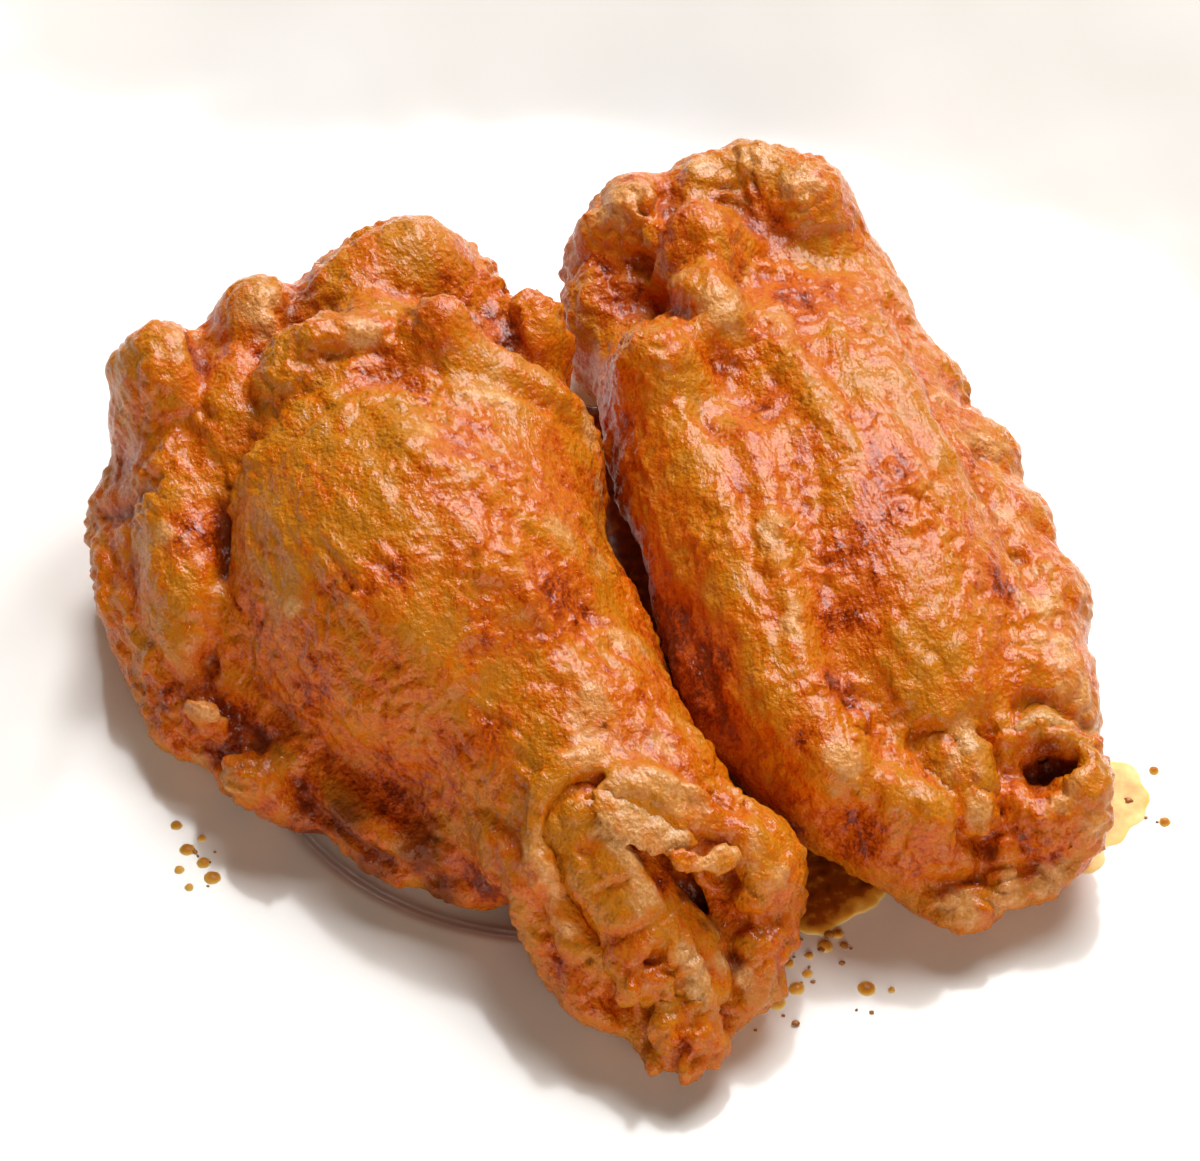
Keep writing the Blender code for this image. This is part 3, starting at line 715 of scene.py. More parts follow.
# %% Dabs on the flat
FLAT_THIN = (
    (5, (41, 13.5, 20)), (5, (48.5, 12.5, 20)), (4, (26, 14.5, 18.5)), (4, (19, 14, 18)),
    (5, (77.5, -1, 19.5)), (5, (68, -5.5, 16.5)), (6, (47, -4, 20)), (6, (41.5, -7.5, 19.5)),
    (5, (37, -9, 18.5)), (5, (21.5, -2.5, 19)), (5, (15, -2, 17)), (4, (65.5, 17, 12)),
    (4, (16.5, 18.5, 7.5)), (4, (14, 16.5, 6)), (4, (33, 2.5, 20)), (3, (17.5, 1.5, 18)),
    (3, (11.5, -2.5, 10)),
)
FLAT_THICK = (
    (5, (40, 9, 21)), (4, (47.5, 5, 19)), (6, (32, -0.5, 20.5)), (5, (26, 2.5, 19.5)),
    (5, (21, 5, 17.5)), (4, (14.5, 8.5, 16.5)), (4, (10.5, 12.5, 16.5)), (5, (0, 3.5, 10)),
    (5, (2.5, 7.5, 11)), (6, (21.5, 18, 14)), (5, (69.5, 7.5, 21.5)), (4, (76, 10.5, 19.5)),
    (5, (62, -1.5, 18)), (4, (35, -3.5, 20.5)), (4, (24, -10, 16)), (4, (6, -9, 9)), (7, (27, 19, 12)),
    (5, (0, 4.5, 9.5)), (4, (68, 15, 14)), (4, (3.5, 7, 13)), (5, (0.5, -6, 9)),
)
# Bare skin, and painted light: some of these pale dabs are painted sheen, and some lighten the far top and
# the right edge.
FLAT_BARE_AND_SHEEN = (
    (4, (22, -13, 14.5)), (4, (16, -13, 14.5)), (4, (12, -14, 12)), (4, (33, -12.5, 15)),
    (4, (47.5, -12.5, 14.5)), (4, (41.5, -13.5, 14)), (5, (56.5, 3, 19)), (4, (57.5, 7.5, 22)),
    (2.5, (7, 10, 16)), (3, (8.5, -2.5, 13.5)), (3, (13, -11.5, 8)), (5, (77, 13, 18.5)),
    (3, (80, 3.5, 19.5)), (4, (31, 10.5, 20.5)), (3, (21, 10.5, 19)), (3, (1.5, -9, 12)),
    (3, (-2.5, -1.5, 4)), (4, (-3, -3.5, 5.5)), (4, (-2, -7, 5.5)), (3.5, (-3, 1.5, 5.5)),
    (4, (0.5, -11, 9)), (2.5, (-3, 2, 3)), (2.5, (1.5, -2, 12)), (5, (77, -1, 20.5)),
    (4, (73.5, -4, 21)), (3, (79, 4, 20)), (4, (47, -11, 16.5)), (4.5, (31, -12.5, 14.5)),
    (4, (26, -12.5, 14)), (2.4, (6.3, 9.8, 16.5)),
)
# Painted shade in the hollow, the pit and the creases of the near end; the smallest dab is a dark speck of
# crust.
FLAT_SHADE_AND_SPECKS = (
    (3.2, (6.5, -8.6, 9.5)), (2.6, (5.6, -10.6, 9.5)), (1.2, (7.5, -4.5, 13)), (2, (70.5, 12.3, 16.5)),
    (1.4, (0.4, -2.5, 7.5)), (0.6, (21.5, 4.5, 17.7)), (2.2, (7, -9.2, 12)),
)
FLAT_RAGGED = (
    (6, (-1, -4, 5)), (5, (0, 3, 9)), (5, (1, -10, 8)), (6, (75, 10, 18)), (6, (76, 0, 19)),
    (5, (71, 16, 13)), (5, (8, -14, 10)), (4, (0, -6.5, 9)), (4, (1, -3, 10)), (2.5, (6, -9, 9)),
    (5, (-3, -3, 5.5)), (4, (-2.5, 2, 6)), (4, (-1.5, -8, 6)),
)

# %% Dabs on the bones
SHANK_THIN = (
    (4, (16, 4, 17)), (4, (12, 3.8, 15.5)), (3, (8.5, 3.2, 13.5)), (2.5, (6, -1, 13)),
)
SHANK_THICK = (
    (2.5, (5, 3, 11)), (2, (8.5, -1.5, 14)), (2.5, (3, 3.5, 9.5)), (2, (1, 2.5, 8)),
)
# Pale cartilage, and painted light: some of these dabs lighten the bone's top where it lies in shade.
SHANK_BARE_AND_LIGHT = (
    (2, (13.5, 1.5, 18.5)), (2, (12, 1, 17.5)), (2, (10.5, 0.5, 17)), (2, (8.5, 0.8, 16)),
    (2.4, (7.5, 0.5, 14.5)), (2.4, (10.5, -0.5, 16.5)), (3, (2.5, -1.4, 10)), (2.5, (0.8, -1.4, 8.5)),
    (2, (2.5, -3.8, 8.8)), (4, (13.5, -1.5, 18.3)), (3, (11, -3.6, 17.3)),
)
# Painted shade in the pits, the slot and the creases beside the bone.
SHANK_SHADE = (
    (1.0, (4, 2, 11)), (1.5, (8, -3.4, 12)), (1.4, (5.5, -3.6, 10)), (1.2, (15, 5.4, 15)),
    (1.1, (11, 5.2, 12)),
)
ULNA_BARE = ((3.2, (8, -1.8, 14)), (1.3, (2.3, -1.8, 12.6)))
ULNA_DARK = ((1, (4.6, -1.8, 13)),)
THIN_BONE_THICK = ((3, (7, -9.5, 10)),)
THIN_BONE_BARE = ((2.4, (9.4, -7.6, 13.5)), (2.6, (9.6, -10, 14)), (2, (8.6, -12, 13)))
# Painted shade on the cut end of the thin bone, in the hollow.
THIN_BONE_SHADE = ((2.4, (7, -9, 10)), (2.2, (7.6, -9.4, 12)))
print(len(DRUMETTE_THIN + DRUMETTE_THICK + DRUMETTE_BARE_AND_SHEEN + DRUMETTE_SHADE_AND_SPECKS), "dabs of paint on the drumette")
# %% [markdown]
# ## Sculpting
#
# Now the wings are made. Each solid becomes clay, the clay is smoothed, and the strokes and
# the wrinkles go on. A bone's clay is shaped first and apart. Then the meat is drawn up
# against it, as meat that shrinks in the fryer grips the bone.

# %% How a wing and a bone are sculpted


def sculpt(node, place, rolls, strokes, leaves, wrinkles, seed):
    """A wing's clay, from its solid, with all its strokes."""
    clay = Clay(node, place)
    clay.cells = soften(clay.cells, 0.9)
    for _, radius, centres in rolls:
        roll(clay, np.array(centres, float), np.full(len(centres), radius), 1.0)
    for _, radius, height, points in strokes:
        stroke(clay, points, radius, height, 1.6 if height > 0 else 1.0)
    clay.cells = soften(clay.cells, 0.4)
    wrinkle_skin(clay, wrinkles, 5.0, 0.7, 0.22, seed)
    wrinkle_skin(clay, wrinkles * 2, 2.5, 0.5, 0.22, seed + 1)
    for _, centre, radii, along, out in leaves:
        leaf(clay, centre, radii, along, out)
    return clay


def sculpt_bone(node, place, rolls, grooves, leaves=()):
    """A bone's clay, from its solid, with cartilage rolled on, grooves along it and leaves over it."""
    clay = Clay(node, place)
    clay.cells = soften(clay.cells, 0.8)
    for centres, radii in rolls:
        roll(clay, np.array(centres, float), np.array(radii, float), 0.8)
    for radius, height, points in grooves:
        stroke(clay, points, radius, height, 0.5)
    for centre, radii, along, out in leaves:
        leaf(clay, centre, radii, along, out)
    return clay


def cells_of(clay, other):
    """The slice of one clay's cells round another clay, and the other's distance there."""
    low = other.low * CELL
    high = (other.low + np.array(other.cells.shape)) * CELL
    part = clay.part(low, high)
    x, y, z = np.broadcast_arrays(*clay.axes(part))
    points = np.stack([x.ravel(), y.ravel(), z.ravel()], axis=1)
    inside = ((points > low + CELL) & (points < high - 2 * CELL)).all(axis=1)
    distance = np.full(len(points), BAND * CELL)
    distance[inside] = other.at(points[inside])
    return part, distance.reshape(x.shape)


BONE_GRIP = 0.35
RIM_DEPTH, RIM_WIDTH = 0.3, 1.6


def grow_on(meat, bone):
    """Draws the meat up against a bone in a soft rim, and lets it end just under the bone's skin."""
    part, distance = cells_of(meat, bone)
    rim = soft_min(meat.cells[part], distance + RIM_DEPTH, RIM_WIDTH)
    meat.cells[part] = np.maximum(rim, -BONE_GRIP - distance)


print("meat ends", BONE_GRIP, "mm under a bone's skin")

# %% [markdown]
# The drumette's bone is a rough cylinder of cartilage with small lumps at its end, and a torn
# membrane lies over it. Once the meat has closed round it, the skin's arch is rolled on above
# the joint, and the gap under the arch and the grooves beside the bone are cut again.

# %% Sculpt the drumette
SHANK_ROLLS = (
    (((22, 1.6, 14.2), (17, 1.6, 14.4), (12, 1.2, 12.6), (8.5, 0.8, 10.8), (5, 0.2, 9)),
     (3.9, 4.3, 4.2, 3.9, 3.0)),
    (((6.5, 2.9, 9.2), (4.2, 2.8, 8.2)), (2.5, 2.0)),
    (((6, -1.4, 9.4), (3, -1.4, 8.6), (0.4, -1.3, 7.0)), (2.2, 1.7, 1.2)),
    (((5, -4, 8), (2.5, -3.8, 7.6), (1, -3.2, 6.6)), (1.2, 1.1, 0.9)),
    (((5.5, 3, 10.6),), (1.3,)),
    (((3.4, 3.8, 9.0),), (1.2,)),
    (((2, 1.5, 8.2),), (1.2,)),
)
SHANK_STROKES = (
    (0.6, -0.5, [(16, 3.4, 17.5), (12, 3.2, 15.5), (8.5, 2.8, 13.5)]),
    (1.0, 0.4, [(16, 1.5, 18), (12, 1, 16.5), (8, 0.4, 14.5)]),
    (0.5, -0.5, [(15, 0, 17.5), (11, -0.7, 15.5), (7, -1.2, 13)]),
    (0.7, -1.4, [(4, 2, 11)]),
    (0.6, -0.8, [(5, 0.4, 12), (2.5, 0.6, 9.5), (0.5, 0.5, 8)]),
    (0.5, -0.6, [(5.5, -2.8, 11.5), (3, -2.7, 9.5), (1, -2.6, 7.5)]),
    (0.6, -0.6, [(7.5, 4.6, 11.5), (6.2, 2, 12.8), (6.5, -1, 13)]),
    (0.5, -0.5, [(10.5, 3.8, 14), (9.5, 1.8, 15.2)]),
)
SHANK_LEAVES = (
    ((13.0, -1.2, 18.0), (4.6, 2.3, 0.45), (-6.5, -4.5, -3.2), (-0.5, -0.25, 1)),
    ((11.0, -3.4, 17.0), (2.6, 1.5, 0.4), (-4, -5, -1.5), (-0.45, -0.3, 1)),
)
ARCH = [(17.3, 6, 16.2), (19.3, 4.2, 18.2), (20.3, 1.8, 19.2), (20, -0.8, 19.6)]
ARCH_RADII = [1.0, 1.4, 1.4, 1.0]
UNDER_ARCH = [(15.8, 5.5, 16.6), (17.3, 3.9, 18.1), (18, 1.7, 18.9), (17.6, -0.2, 19.1)]
UNDER_ARCH_RADIUS = 0.8
JOINT_GROOVES = (
    (0.7, -1.3, [(15.8, 5.2, 17), (13.5, 5.1, 15), (11, 5, 13), (8.5, 5.1, 11)]),
    (1.4, -2.6, [(9.5, -4, 15), (7.5, -4.6, 13), (5.5, -5.2, 11)]),
    (0.9, -2.0, [(3.6, 5.6, 8.5), (2.4, 5.5, 6.5), (1.2, 5.5, 4.5)]),
    (0.8, -1.5, [(1.5, -3.8, 8), (0.2, -3.6, 6.5), (-0.8, -3.4, 4.5)]),
)

drumette_clay = sculpt("drumette", drumette_frame, DRUMETTE_ROLLS, DRUMETTE_STROKES, DRUMETTE_LEAVES, 260, 1)
shank_clay = sculpt_bone("drumette_bone", drumette_frame, SHANK_ROLLS, SHANK_STROKES, SHANK_LEAVES)
grow_on(drumette_clay, shank_clay)
roll(drumette_clay, np.array(ARCH), np.array(ARCH_RADII), 0.8)
roll(drumette_clay, np.array(UNDER_ARCH), np.full(len(UNDER_ARCH), UNDER_ARCH_RADIUS), 0.3, carve=True)
for radius, height, points in JOINT_GROOVES:
    stroke(drumette_clay, points, radius, height)
print("drumette's block of cells", drumette_clay.cells.shape)

# %% [markdown]
# The flat's two bones end side by side. The thick one has a pad of cartilage. The thin one is
# cut back, so that a hollow with a rolled rim opens in front of it.

# %% Sculpt the flat
ULNA_ROLLS = ((((9.8, -1.6, 11.9), (7.6, -2.0, 12.0), (5.6, -2.1, 11.5)), (1.8, 2.2, 1.7)),)
ULNA_STROKES = ((0.4, -0.3, [(9.5, -1, 14.5), (6.5, -0.8, 14.5)]),)
THIN_BONE_ROLLS = ((((9.2, -7.2, 12.0), (9.6, -9.4, 12.6), (8.6, -11.4, 12.0)), (1.1, 1.3, 1.0)),)

flat_clay = sculpt("flat", flat_frame, FLAT_ROLLS, FLAT_STROKES, (), 220, 5)
ulna_clay = sculpt_bone("flat_ulna", flat_frame, ULNA_ROLLS, ULNA_STROKES)
radius_clay = sculpt_bone("flat_radius", flat_frame, THIN_BONE_ROLLS, ())
for bone in (ulna_clay, radius_clay):
    grow_on(flat_clay, bone)
stroke(flat_clay, [(10, -4.6, 14), (7.5, -4.6, 13.5), (4.5, -4.2, 13)], 0.7, -1.3)

RIM = [(8.3, -7.8, 11.4), (8.4, -9.5, 11.7), (7.8, -11.2, 11.4)]
HOLLOW = [(6.2, -7.8, 12.4), (5.8, -9.2, 12.2), (5.2, -10.6, 12.4)]
HOLLOW_BACK = [(6.0, -8.0, 9.8), (6.2, -9.5, 10.0), (5.6, -11.2, 10.6)]
HOLLOW_BACK_RADII = [0.9, 1.2, 0.9]
LOWER_END = (  # name, clay, middles, radii, blend, whether it is carved
    ("pad", flat_clay, [(4.4, -1.6, 11.3), (2.4, -1.6, 10.6)], [1.5, 1.9], 1.0, False),
    ("thin bone cut back", radius_clay, [(4.2, -9.4, 11.5)], [4.5], 0.4, True),
    ("rim", flat_clay, RIM, [1.5, 1.7, 1.5], 0.8, False),
    ("hollow", flat_clay, HOLLOW, [1.4, 1.9, 1.4], 1.0, True),
    ("back of the hollow", flat_clay, HOLLOW_BACK, HOLLOW_BACK_RADII, 0.6, True),
    ("back of the hollow, bone", radius_clay, HOLLOW_BACK, HOLLOW_BACK_RADII, 0.6, True),
)
for _, clay, centres, radii, blend, carve in LOWER_END:
    roll(clay, np.array(centres), np.array(radii), blend, carve)
print("flat's block of cells", flat_clay.cells.shape)

# %% [markdown]
# The clay of each piece is meshed, painted and put in the place of its plain solid.

# %% Mesh and paint
SKIN_BUMPS, BONE_BUMPS = 0.85, 0.7
SAUCE_AND_SHADE_IN_GAP = {"drumette": 0.25, "flat": 0.9}  # how much more sauce, and how much painted shade, each wing has by the gap
drumette = ("drumette", drumette_clay, drumette_frame, DRUMETTE_RAGGED)
flat = ("flat", flat_clay, flat_frame, FLAT_RAGGED)
MEAT_AND_BONES = (  # wing, the other wing, piece, node, clay, its four kinds of dabs, seed
    (drumette, flat, "drumette_skin", "drumette", drumette_clay,
     (DRUMETTE_THIN, DRUMETTE_THICK, DRUMETTE_BARE_AND_SHEEN, DRUMETTE_SHADE_AND_SPECKS), 1),
    (flat, drumette, "flat_skin", "flat", flat_clay, (FLAT_THIN, FLAT_THICK, FLAT_BARE_AND_SHEEN, FLAT_SHADE_AND_SPECKS), 4),
    (drumette, flat, "drumette_bone_sauced", "drumette_bone", shank_clay,
     (SHANK_THIN, SHANK_THICK, SHANK_BARE_AND_LIGHT, SHANK_SHADE), 7),
    (flat, drumette, "flat_ulna_sauced", "flat_ulna", ulna_clay, ((), (), ULNA_BARE, ULNA_DARK), 8),
    (flat, drumette, "flat_radius_sauced", "flat_radius", radius_clay,
     ((), THIN_BONE_THICK, THIN_BONE_BARE, THIN_BONE_SHADE), 9),
)
PIECES = {}
for wing, other, name, node, clay, kinds_of_dabs, seed in MEAT_AND_BONES:
    wing_name, _, place, ragged = wing
    _, other_clay, other_place, _ = other
    is_skin = node == wing_name
    taut = kinds_of_dabs[0] if is_skin else ()
    bumps = skin_bumps(seed, SKIN_BUMPS if is_skin else BONE_BUMPS, taut, ragged)
    mesh, points = skin_mesh(clay, name, place, bumps)
    near = closeness(points, place, other_clay, other_place) * SAUCE_AND_SHADE_IN_GAP[wing_name]
    paint(mesh, clay, points, *kinds_of_dabs, near, seed)
    PIECES[name] = place_piece(name, mesh, node)

# %% [markdown]
# ## Colours and nodes
#
# Colours are written as the sRGB hex values that a paint chart gives, and one function turns
# them into the linear numbers that a shader works with. Another adds a node, with its settings
# and with what goes into its sockets: a plain number or colour, or the output of another node.

# %% Colour and node helpers


def linear(hex_colour):
    """The linear colour of an sRGB hex value, such as #C8501A."""
    parts = [int(hex_colour[i : i + 2], 16) / 255 for i in (1, 3, 5)]
    return tuple(c / 12.92 if c <= 0.04045 else ((c + 0.055) / 1.055) ** 2.4 for c in parts) + (1.0,)


def feed(tree, node, sockets):
    """Gives each socket a value, or a link from a node's first used output or from a socket."""
    for name, value in sockets.items():
        if isinstance(value, bpy.types.Node):
            value = next(output for output in value.outputs if output.enabled)
        if isinstance(value, bpy.types.NodeSocket):
            tree.links.new(value, node.inputs[name])
        else:
            node.inputs[name].default_value = value


def add(tree, kind, settings=None, sockets=None):
    """Adds a node, with its settings and what goes into its sockets."""
    node = tree.nodes.new("ShaderNode" + kind)
    for name, value in (settings or {}).items():
        setattr(node, name, value)
    feed(tree, node, sockets or {})
    return node


def new_finish(name):
    """A new material: its node tree, and its surface shader."""
    finish = bpy.data.materials.new(name)
    finish.use_nodes = True
    return finish, finish.node_tree, finish.node_tree.nodes["Principled BSDF"]


def colour_steps(tree, factor, steps):
    """A colour ramp through (place, hex colour) steps."""
    ramp = add(tree, "ValToRGB", sockets={"Fac": factor})
    elements = ramp.color_ramp.elements
    for _ in range(len(steps) - 2):
        elements.new(0.5)
    for element, (place, colour) in zip(elements, steps):
        element.position = place
        element.color = linear(colour)
    return ramp


# %% [markdown]
# ## Sauced fried skin
#
# Deep-fried chicken skin tossed in hot sauce. The skin itself is crisp and grainy; the sauce
# over it is part butter, so it is glossy, and red light scatters a little way into it. The
# painted thickness of the sauce picks its colour, from golden skin through orange to deep
# red, and a fine grain moves that colour back and forth. Where the hollow number is high, the
# colour goes towards a dark red-brown, which is partly deeper sauce and partly painted shade,
# and the pale bare colours also serve as painted sheen where the bare dabs lie. The sauce fills
# the finest bumps and lies smoother than the skin, so its gloss follows a broader and softer
# bump of its own.

# %% Material of the skin
SKIN_GRAIN_MM = 0.4
SKIN_STREAK_MM = 1.3
PEBBLE_MM = 0.8
FINE_GRAIN_MM = 0.28
OILY_GLOSS_IOR = 1.46
SAUCE_STEPS = ((0.0, "#C67C1A"), (0.22, "#CE7C10"), (0.48, "#D46E08"), (0.7, "#CC5A06"), (0.88, "#AC4002"),
               (1.0, "#802A02"))
FRIED_SKIN_STEPS = ((0.3, "#D28A46"), (0.55, "#E4A662"), (0.75, "#F2C890"))
CARTILAGE_STEPS = ((0.3, "#C08646"), (0.55, "#DCA668"), (0.75, "#F0C898"))
# Dark red-brown for the hollows: deeper sauce, and painted shade.
DEEP_SAUCE_AND_SHADE = "#6C2404"
BARE_SHARE = 0.82  # a little sauce stains even the barest skin


def sauced_finish(name, bare_steps):
    """Hot sauce over something: bare_steps are the colours of what shows through."""
    finish, tree, surface = new_finish(name)
    own = add(tree, "Attribute", {"attribute_name": "own_mm"}).outputs["Vector"]
    sauce = add(tree, "Attribute", {"attribute_name": "sauce"}).outputs["Fac"]
    bare = add(tree, "Attribute", {"attribute_name": "bare"}).outputs["Fac"]
    hollow = add(tree, "Attribute", {"attribute_name": "hollow"}).outputs["Fac"]
    along = add(tree, "VectorMath", {"operation": "MULTIPLY"}, {0: own, 1: (0.45, 1.0, 1.0)})
    grain, streak, pebbles, fine_grain = (
        add(tree, "TexNoise", {}, {"Vector": place, "Scale": 1 / size, "Detail": detail, "Roughness": 0.62})
        for place, size, detail in (
            (own, SKIN_GRAIN_MM, 2.0), (along, SKIN_STREAK_MM, 3.0), (own, PEBBLE_MM, 1.0),
            (own, FINE_GRAIN_MM, 1.0),
        )
    )
    shifted = add(tree, "Math", {"operation": "MULTIPLY_ADD"}, {0: streak, 1: 1.1, 2: sauce})
    speckled = add(tree, "Math", {"operation": "MULTIPLY_ADD"}, {0: grain, 1: 0.9, 2: shifted})
    thickness = add(tree, "Math", {"operation": "SUBTRACT", "use_clamp": True}, {0: speckled, 1: 1.0})
    sauce_colour = colour_steps(tree, thickness, SAUCE_STEPS)
    bare_colour = colour_steps(tree, grain, bare_steps)
    ragged = add(tree, "Math", {"operation": "MULTIPLY_ADD"}, {0: streak, 1: 0.9, 2: bare})
    soft_steps = {"interpolation_type": "SMOOTHSTEP"}
    bare_edge = add(tree, "MapRange", soft_steps, {"Value": ragged, 1: 0.72, 2: 1.55, 4: BARE_SHARE})
    sauced = add(tree, "Mix", {"data_type": "RGBA"}, {0: bare_edge, 6: sauce_colour, 7: bare_colour})
    # Painted shade: the hollow number pulls the colour towards the dark red-brown.
    deep = add(tree, "MapRange", soft_steps, {"Value": hollow, 1: 0.15, 2: 1.0, 4: 0.88})
    shaded = add(tree, "Mix", {"data_type": "RGBA"}, {0: deep, 6: sauced.outputs[2], 7: linear(DEEP_SAUCE_AND_SHADE)})
    rises = add(tree, "Math", {"operation": "MULTIPLY_ADD"}, {0: fine_grain, 1: 0.4, 2: pebbles})
    bump = add(tree, "Bump", {}, {"Strength": 1.0, "Distance": 0.0004, "Height": rises})
    gloss_bump = add(tree, "Bump", {}, {"Strength": 1.0, "Distance": 0.00035, "Height": streak})
    wet = add(tree, "MapRange", soft_steps, {"Value": streak, 1: 0.4, 2: 0.6, 3: 0.42, 4: 0.13})
    feed(tree, surface, {
        "Base Color": shaded.outputs[2],
        "Roughness": wet.outputs[0],
        "Normal": bump.outputs[0],
        "Coat Normal": gloss_bump.outputs[0],
        "IOR": OILY_GLOSS_IOR,
        "Specular IOR Level": 0.15,
        "Subsurface Weight": 0.25,
        "Subsurface Radius": (1.0, 0.35, 0.08),
        "Subsurface Scale": 0.0012,
        "Coat Weight": 0.5,
        "Coat Roughness": 0.1,
        "Coat IOR": OILY_GLOSS_IOR,
    })
    return finish


fried_skin = sauced_finish("sauced_fried_skin", FRIED_SKIN_STEPS)
cartilage_finish = sauced_finish("sauced_cartilage", CARTILAGE_STEPS)
for name, piece in PIECES.items():
    piece.data.materials.append(fried_skin if name.endswith("skin") else cartilage_finish)
print("sauced finishes:", fried_skin.name, cartilage_finish.name)

# %% [markdown]
# ## The plate
#
# A plain coupe plate of glazed porcelain, made by pressing clay on a turning mould. So it is
# turned here too: a section with rounded corners goes once round the middle. A shallow ring
# is pressed into the floor. The foot ring underneath is wiped free of glaze before firing,
# so that it doesn't stick to the kiln's shelf, and stays matt.

# %% Turn the plate
PLATE_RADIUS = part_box("plate")[1].x / MM
PLATE_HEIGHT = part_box("plate")[1].z / MM
FLOOR_RADIUS = 62.0
RECESS_RADIUS, RECESS_DEPTH, RECESS_SLOPE = 27.0, 1.6, 1.8
WALL = 3.6
FOOT_RADIUS, FOOT_WIDTH = 54.0, 3.0
TURNS = 160


def plate_top(radius):
    """The height of the plate's upper side near the middle, radius mm from its axis."""
    return FLOOR_HEIGHT - RECESS_DEPTH * np.clip((RECESS_RADIUS + RECESS_SLOPE - radius) / RECESS_SLOPE, 0, 1)


def rounded_line(corners, arc_steps=6):
    """A line through corners given as radius, height and rounding, with each corner turned into an arc."""
    places = [Vector(corner[:2]) for corner in corners]
    line = [places[0]]
    for before, corner, after, rounding in zip(places, places[1:], places[2:], [c[2] for c in corners[1:]]):
        start = corner + (before - corner).normalized() * rounding
        stop = corner + (after - corner).normalized() * rounding
        for step in range(arc_steps + 1):
            t = step / arc_steps
            line.append(start * (1 - t) ** 2 + corner * 2 * t * (1 - t) + stop * t**2)
    return line + [places[-1]]


def plate_section():
    """The plate's section, over the top from the middle and back underneath."""
    rim_width = PLATE_RADIUS - FLOOR_RADIUS
    rise = PLATE_HEIGHT - FLOOR_HEIGHT
    low_rim = (FLOOR_RADIUS + 0.3 * rim_width, FLOOR_HEIGHT + 0.21 * rise)
    high_rim = (FLOOR_RADIUS + 0.6 * rim_width, FLOOR_HEIGHT + 0.515 * rise)
    under = FLOOR_HEIGHT - WALL
    return rounded_line((
        (0, FLOOR_HEIGHT - RECESS_DEPTH, 0),
        (RECESS_RADIUS, FLOOR_HEIGHT - RECESS_DEPTH, 1.0),
        (RECESS_RADIUS + RECESS_SLOPE, FLOOR_HEIGHT, 1.0),
        (FLOOR_RADIUS, FLOOR_HEIGHT, 6),
        (*low_rim, 6),
        (*high_rim, 6),
        (PLATE_RADIUS - 1.2, PLATE_HEIGHT, 1.0),
        (PLATE_RADIUS, PLATE_HEIGHT - 1.3, 1.2),
        (PLATE_RADIUS - 1.6, PLATE_HEIGHT - 3.0, 1.2),
        (high_rim[0], high_rim[1] - WALL, 6),
        (low_rim[0], low_rim[1] - WALL, 6),
        (FLOOR_RADIUS, under, 2),
        (FOOT_RADIUS + FOOT_WIDTH, under, 0.8),
        (FOOT_RADIUS + FOOT_WIDTH * 0.7, 0, 0.4),
        (FOOT_RADIUS, 0, 0.4),
        (FOOT_RADIUS - FOOT_WIDTH * 0.3, under - 1.0, 0.8),
        (0, under - 1.0, 0),
    ))


def turn_plate():
    """The plate's mesh, with the wiped foot ring as its second finish."""
    bm = bmesh.new()
    points = [bm.verts.new((point.x * MM, 0, point.y * MM)) for point in plate_section()]
    for first, second in zip(points, points[1:]):
        bm.edges.new((first, second))
    bmesh.ops.spin(bm, geom=bm.verts[:] + bm.edges[:], axis=(0, 0, 1), cent=(0, 0, 0),
                   steps=TURNS, angle=math.tau, use_merge=True)
    bmesh.ops.remove_doubles(bm, verts=bm.verts, dist=0.01 * MM)
    bmesh.ops.recalc_face_normals(bm, faces=bm.faces)
    for face in bm.faces:
        face.material_index = int(face.calc_center_median().z < 0.25 * MM)
    mesh = bpy.data.meshes.new("plate_glazed")
    bm.to_mesh(mesh)
    bm.free()
    mesh.shade_smooth()
    return mesh


plate = place_piece("plate_glazed", turn_plate(), "plate")
print(f"plate: {len(plate.data.polygons)} faces")

# %% [markdown]
# Glazed porcelain is white clay under a thin layer of clear glass. The glass melts almost
# flat, so reflections stay sharp and only wander a little. The wiped foot is bare biscuit,
# which is warmer in colour and matt.

# %% Materials of the plate
GLAZE_WAVE_MM = 14.0
BISCUIT_GRAIN_MM = 0.4


def two_tone_finish(name, pattern_mm, detail, tones, roughness, bump=None):
    """A finish that wanders between two tones over pattern_mm. A bump is a strength and metres of depth."""
    finish, tree, surface = new_finish(name)
    place = add(tree, "TexCoord").outputs["Object"]
    scale = 1 / (pattern_mm * MM)
    wander = add(tree, "TexNoise", sockets={"Vector": place, "Scale": scale, "Detail": detail})
    colour = colour_steps(tree, wander, ((0.3, tones[0]), (0.7, tones[1])))
    feed(tree, surface, {"Base Color": colour, "Roughness": roughness})
    if bump:
        relief_bump = add(tree, "Bump", sockets={"Strength": bump[0], "Distance": bump[1], "Height": wander})
        feed(tree, surface, {"Normal": relief_bump})
    return finish


glazed_porcelain = two_tone_finish(
    "glazed_porcelain", GLAZE_WAVE_MM, 1.0, ("#F7F6F2", "#FBFAF7"), 0.12, (0.4, 0.0004)
)
glazed_porcelain.node_tree.nodes["Principled BSDF"].inputs["IOR"].default_value = 1.5
bare_biscuit = two_tone_finish(
    "bare_porcelain_biscuit", BISCUIT_GRAIN_MM, 3.0, ("#D5CEC0", "#E4DFD4"), 0.75, (0.5, 0.0001)
)
plate.data.materials.append(glazed_porcelain)
plate.data.materials.append(bare_biscuit)
print("plate finishes:", glazed_porcelain.name, bare_biscuit.name)

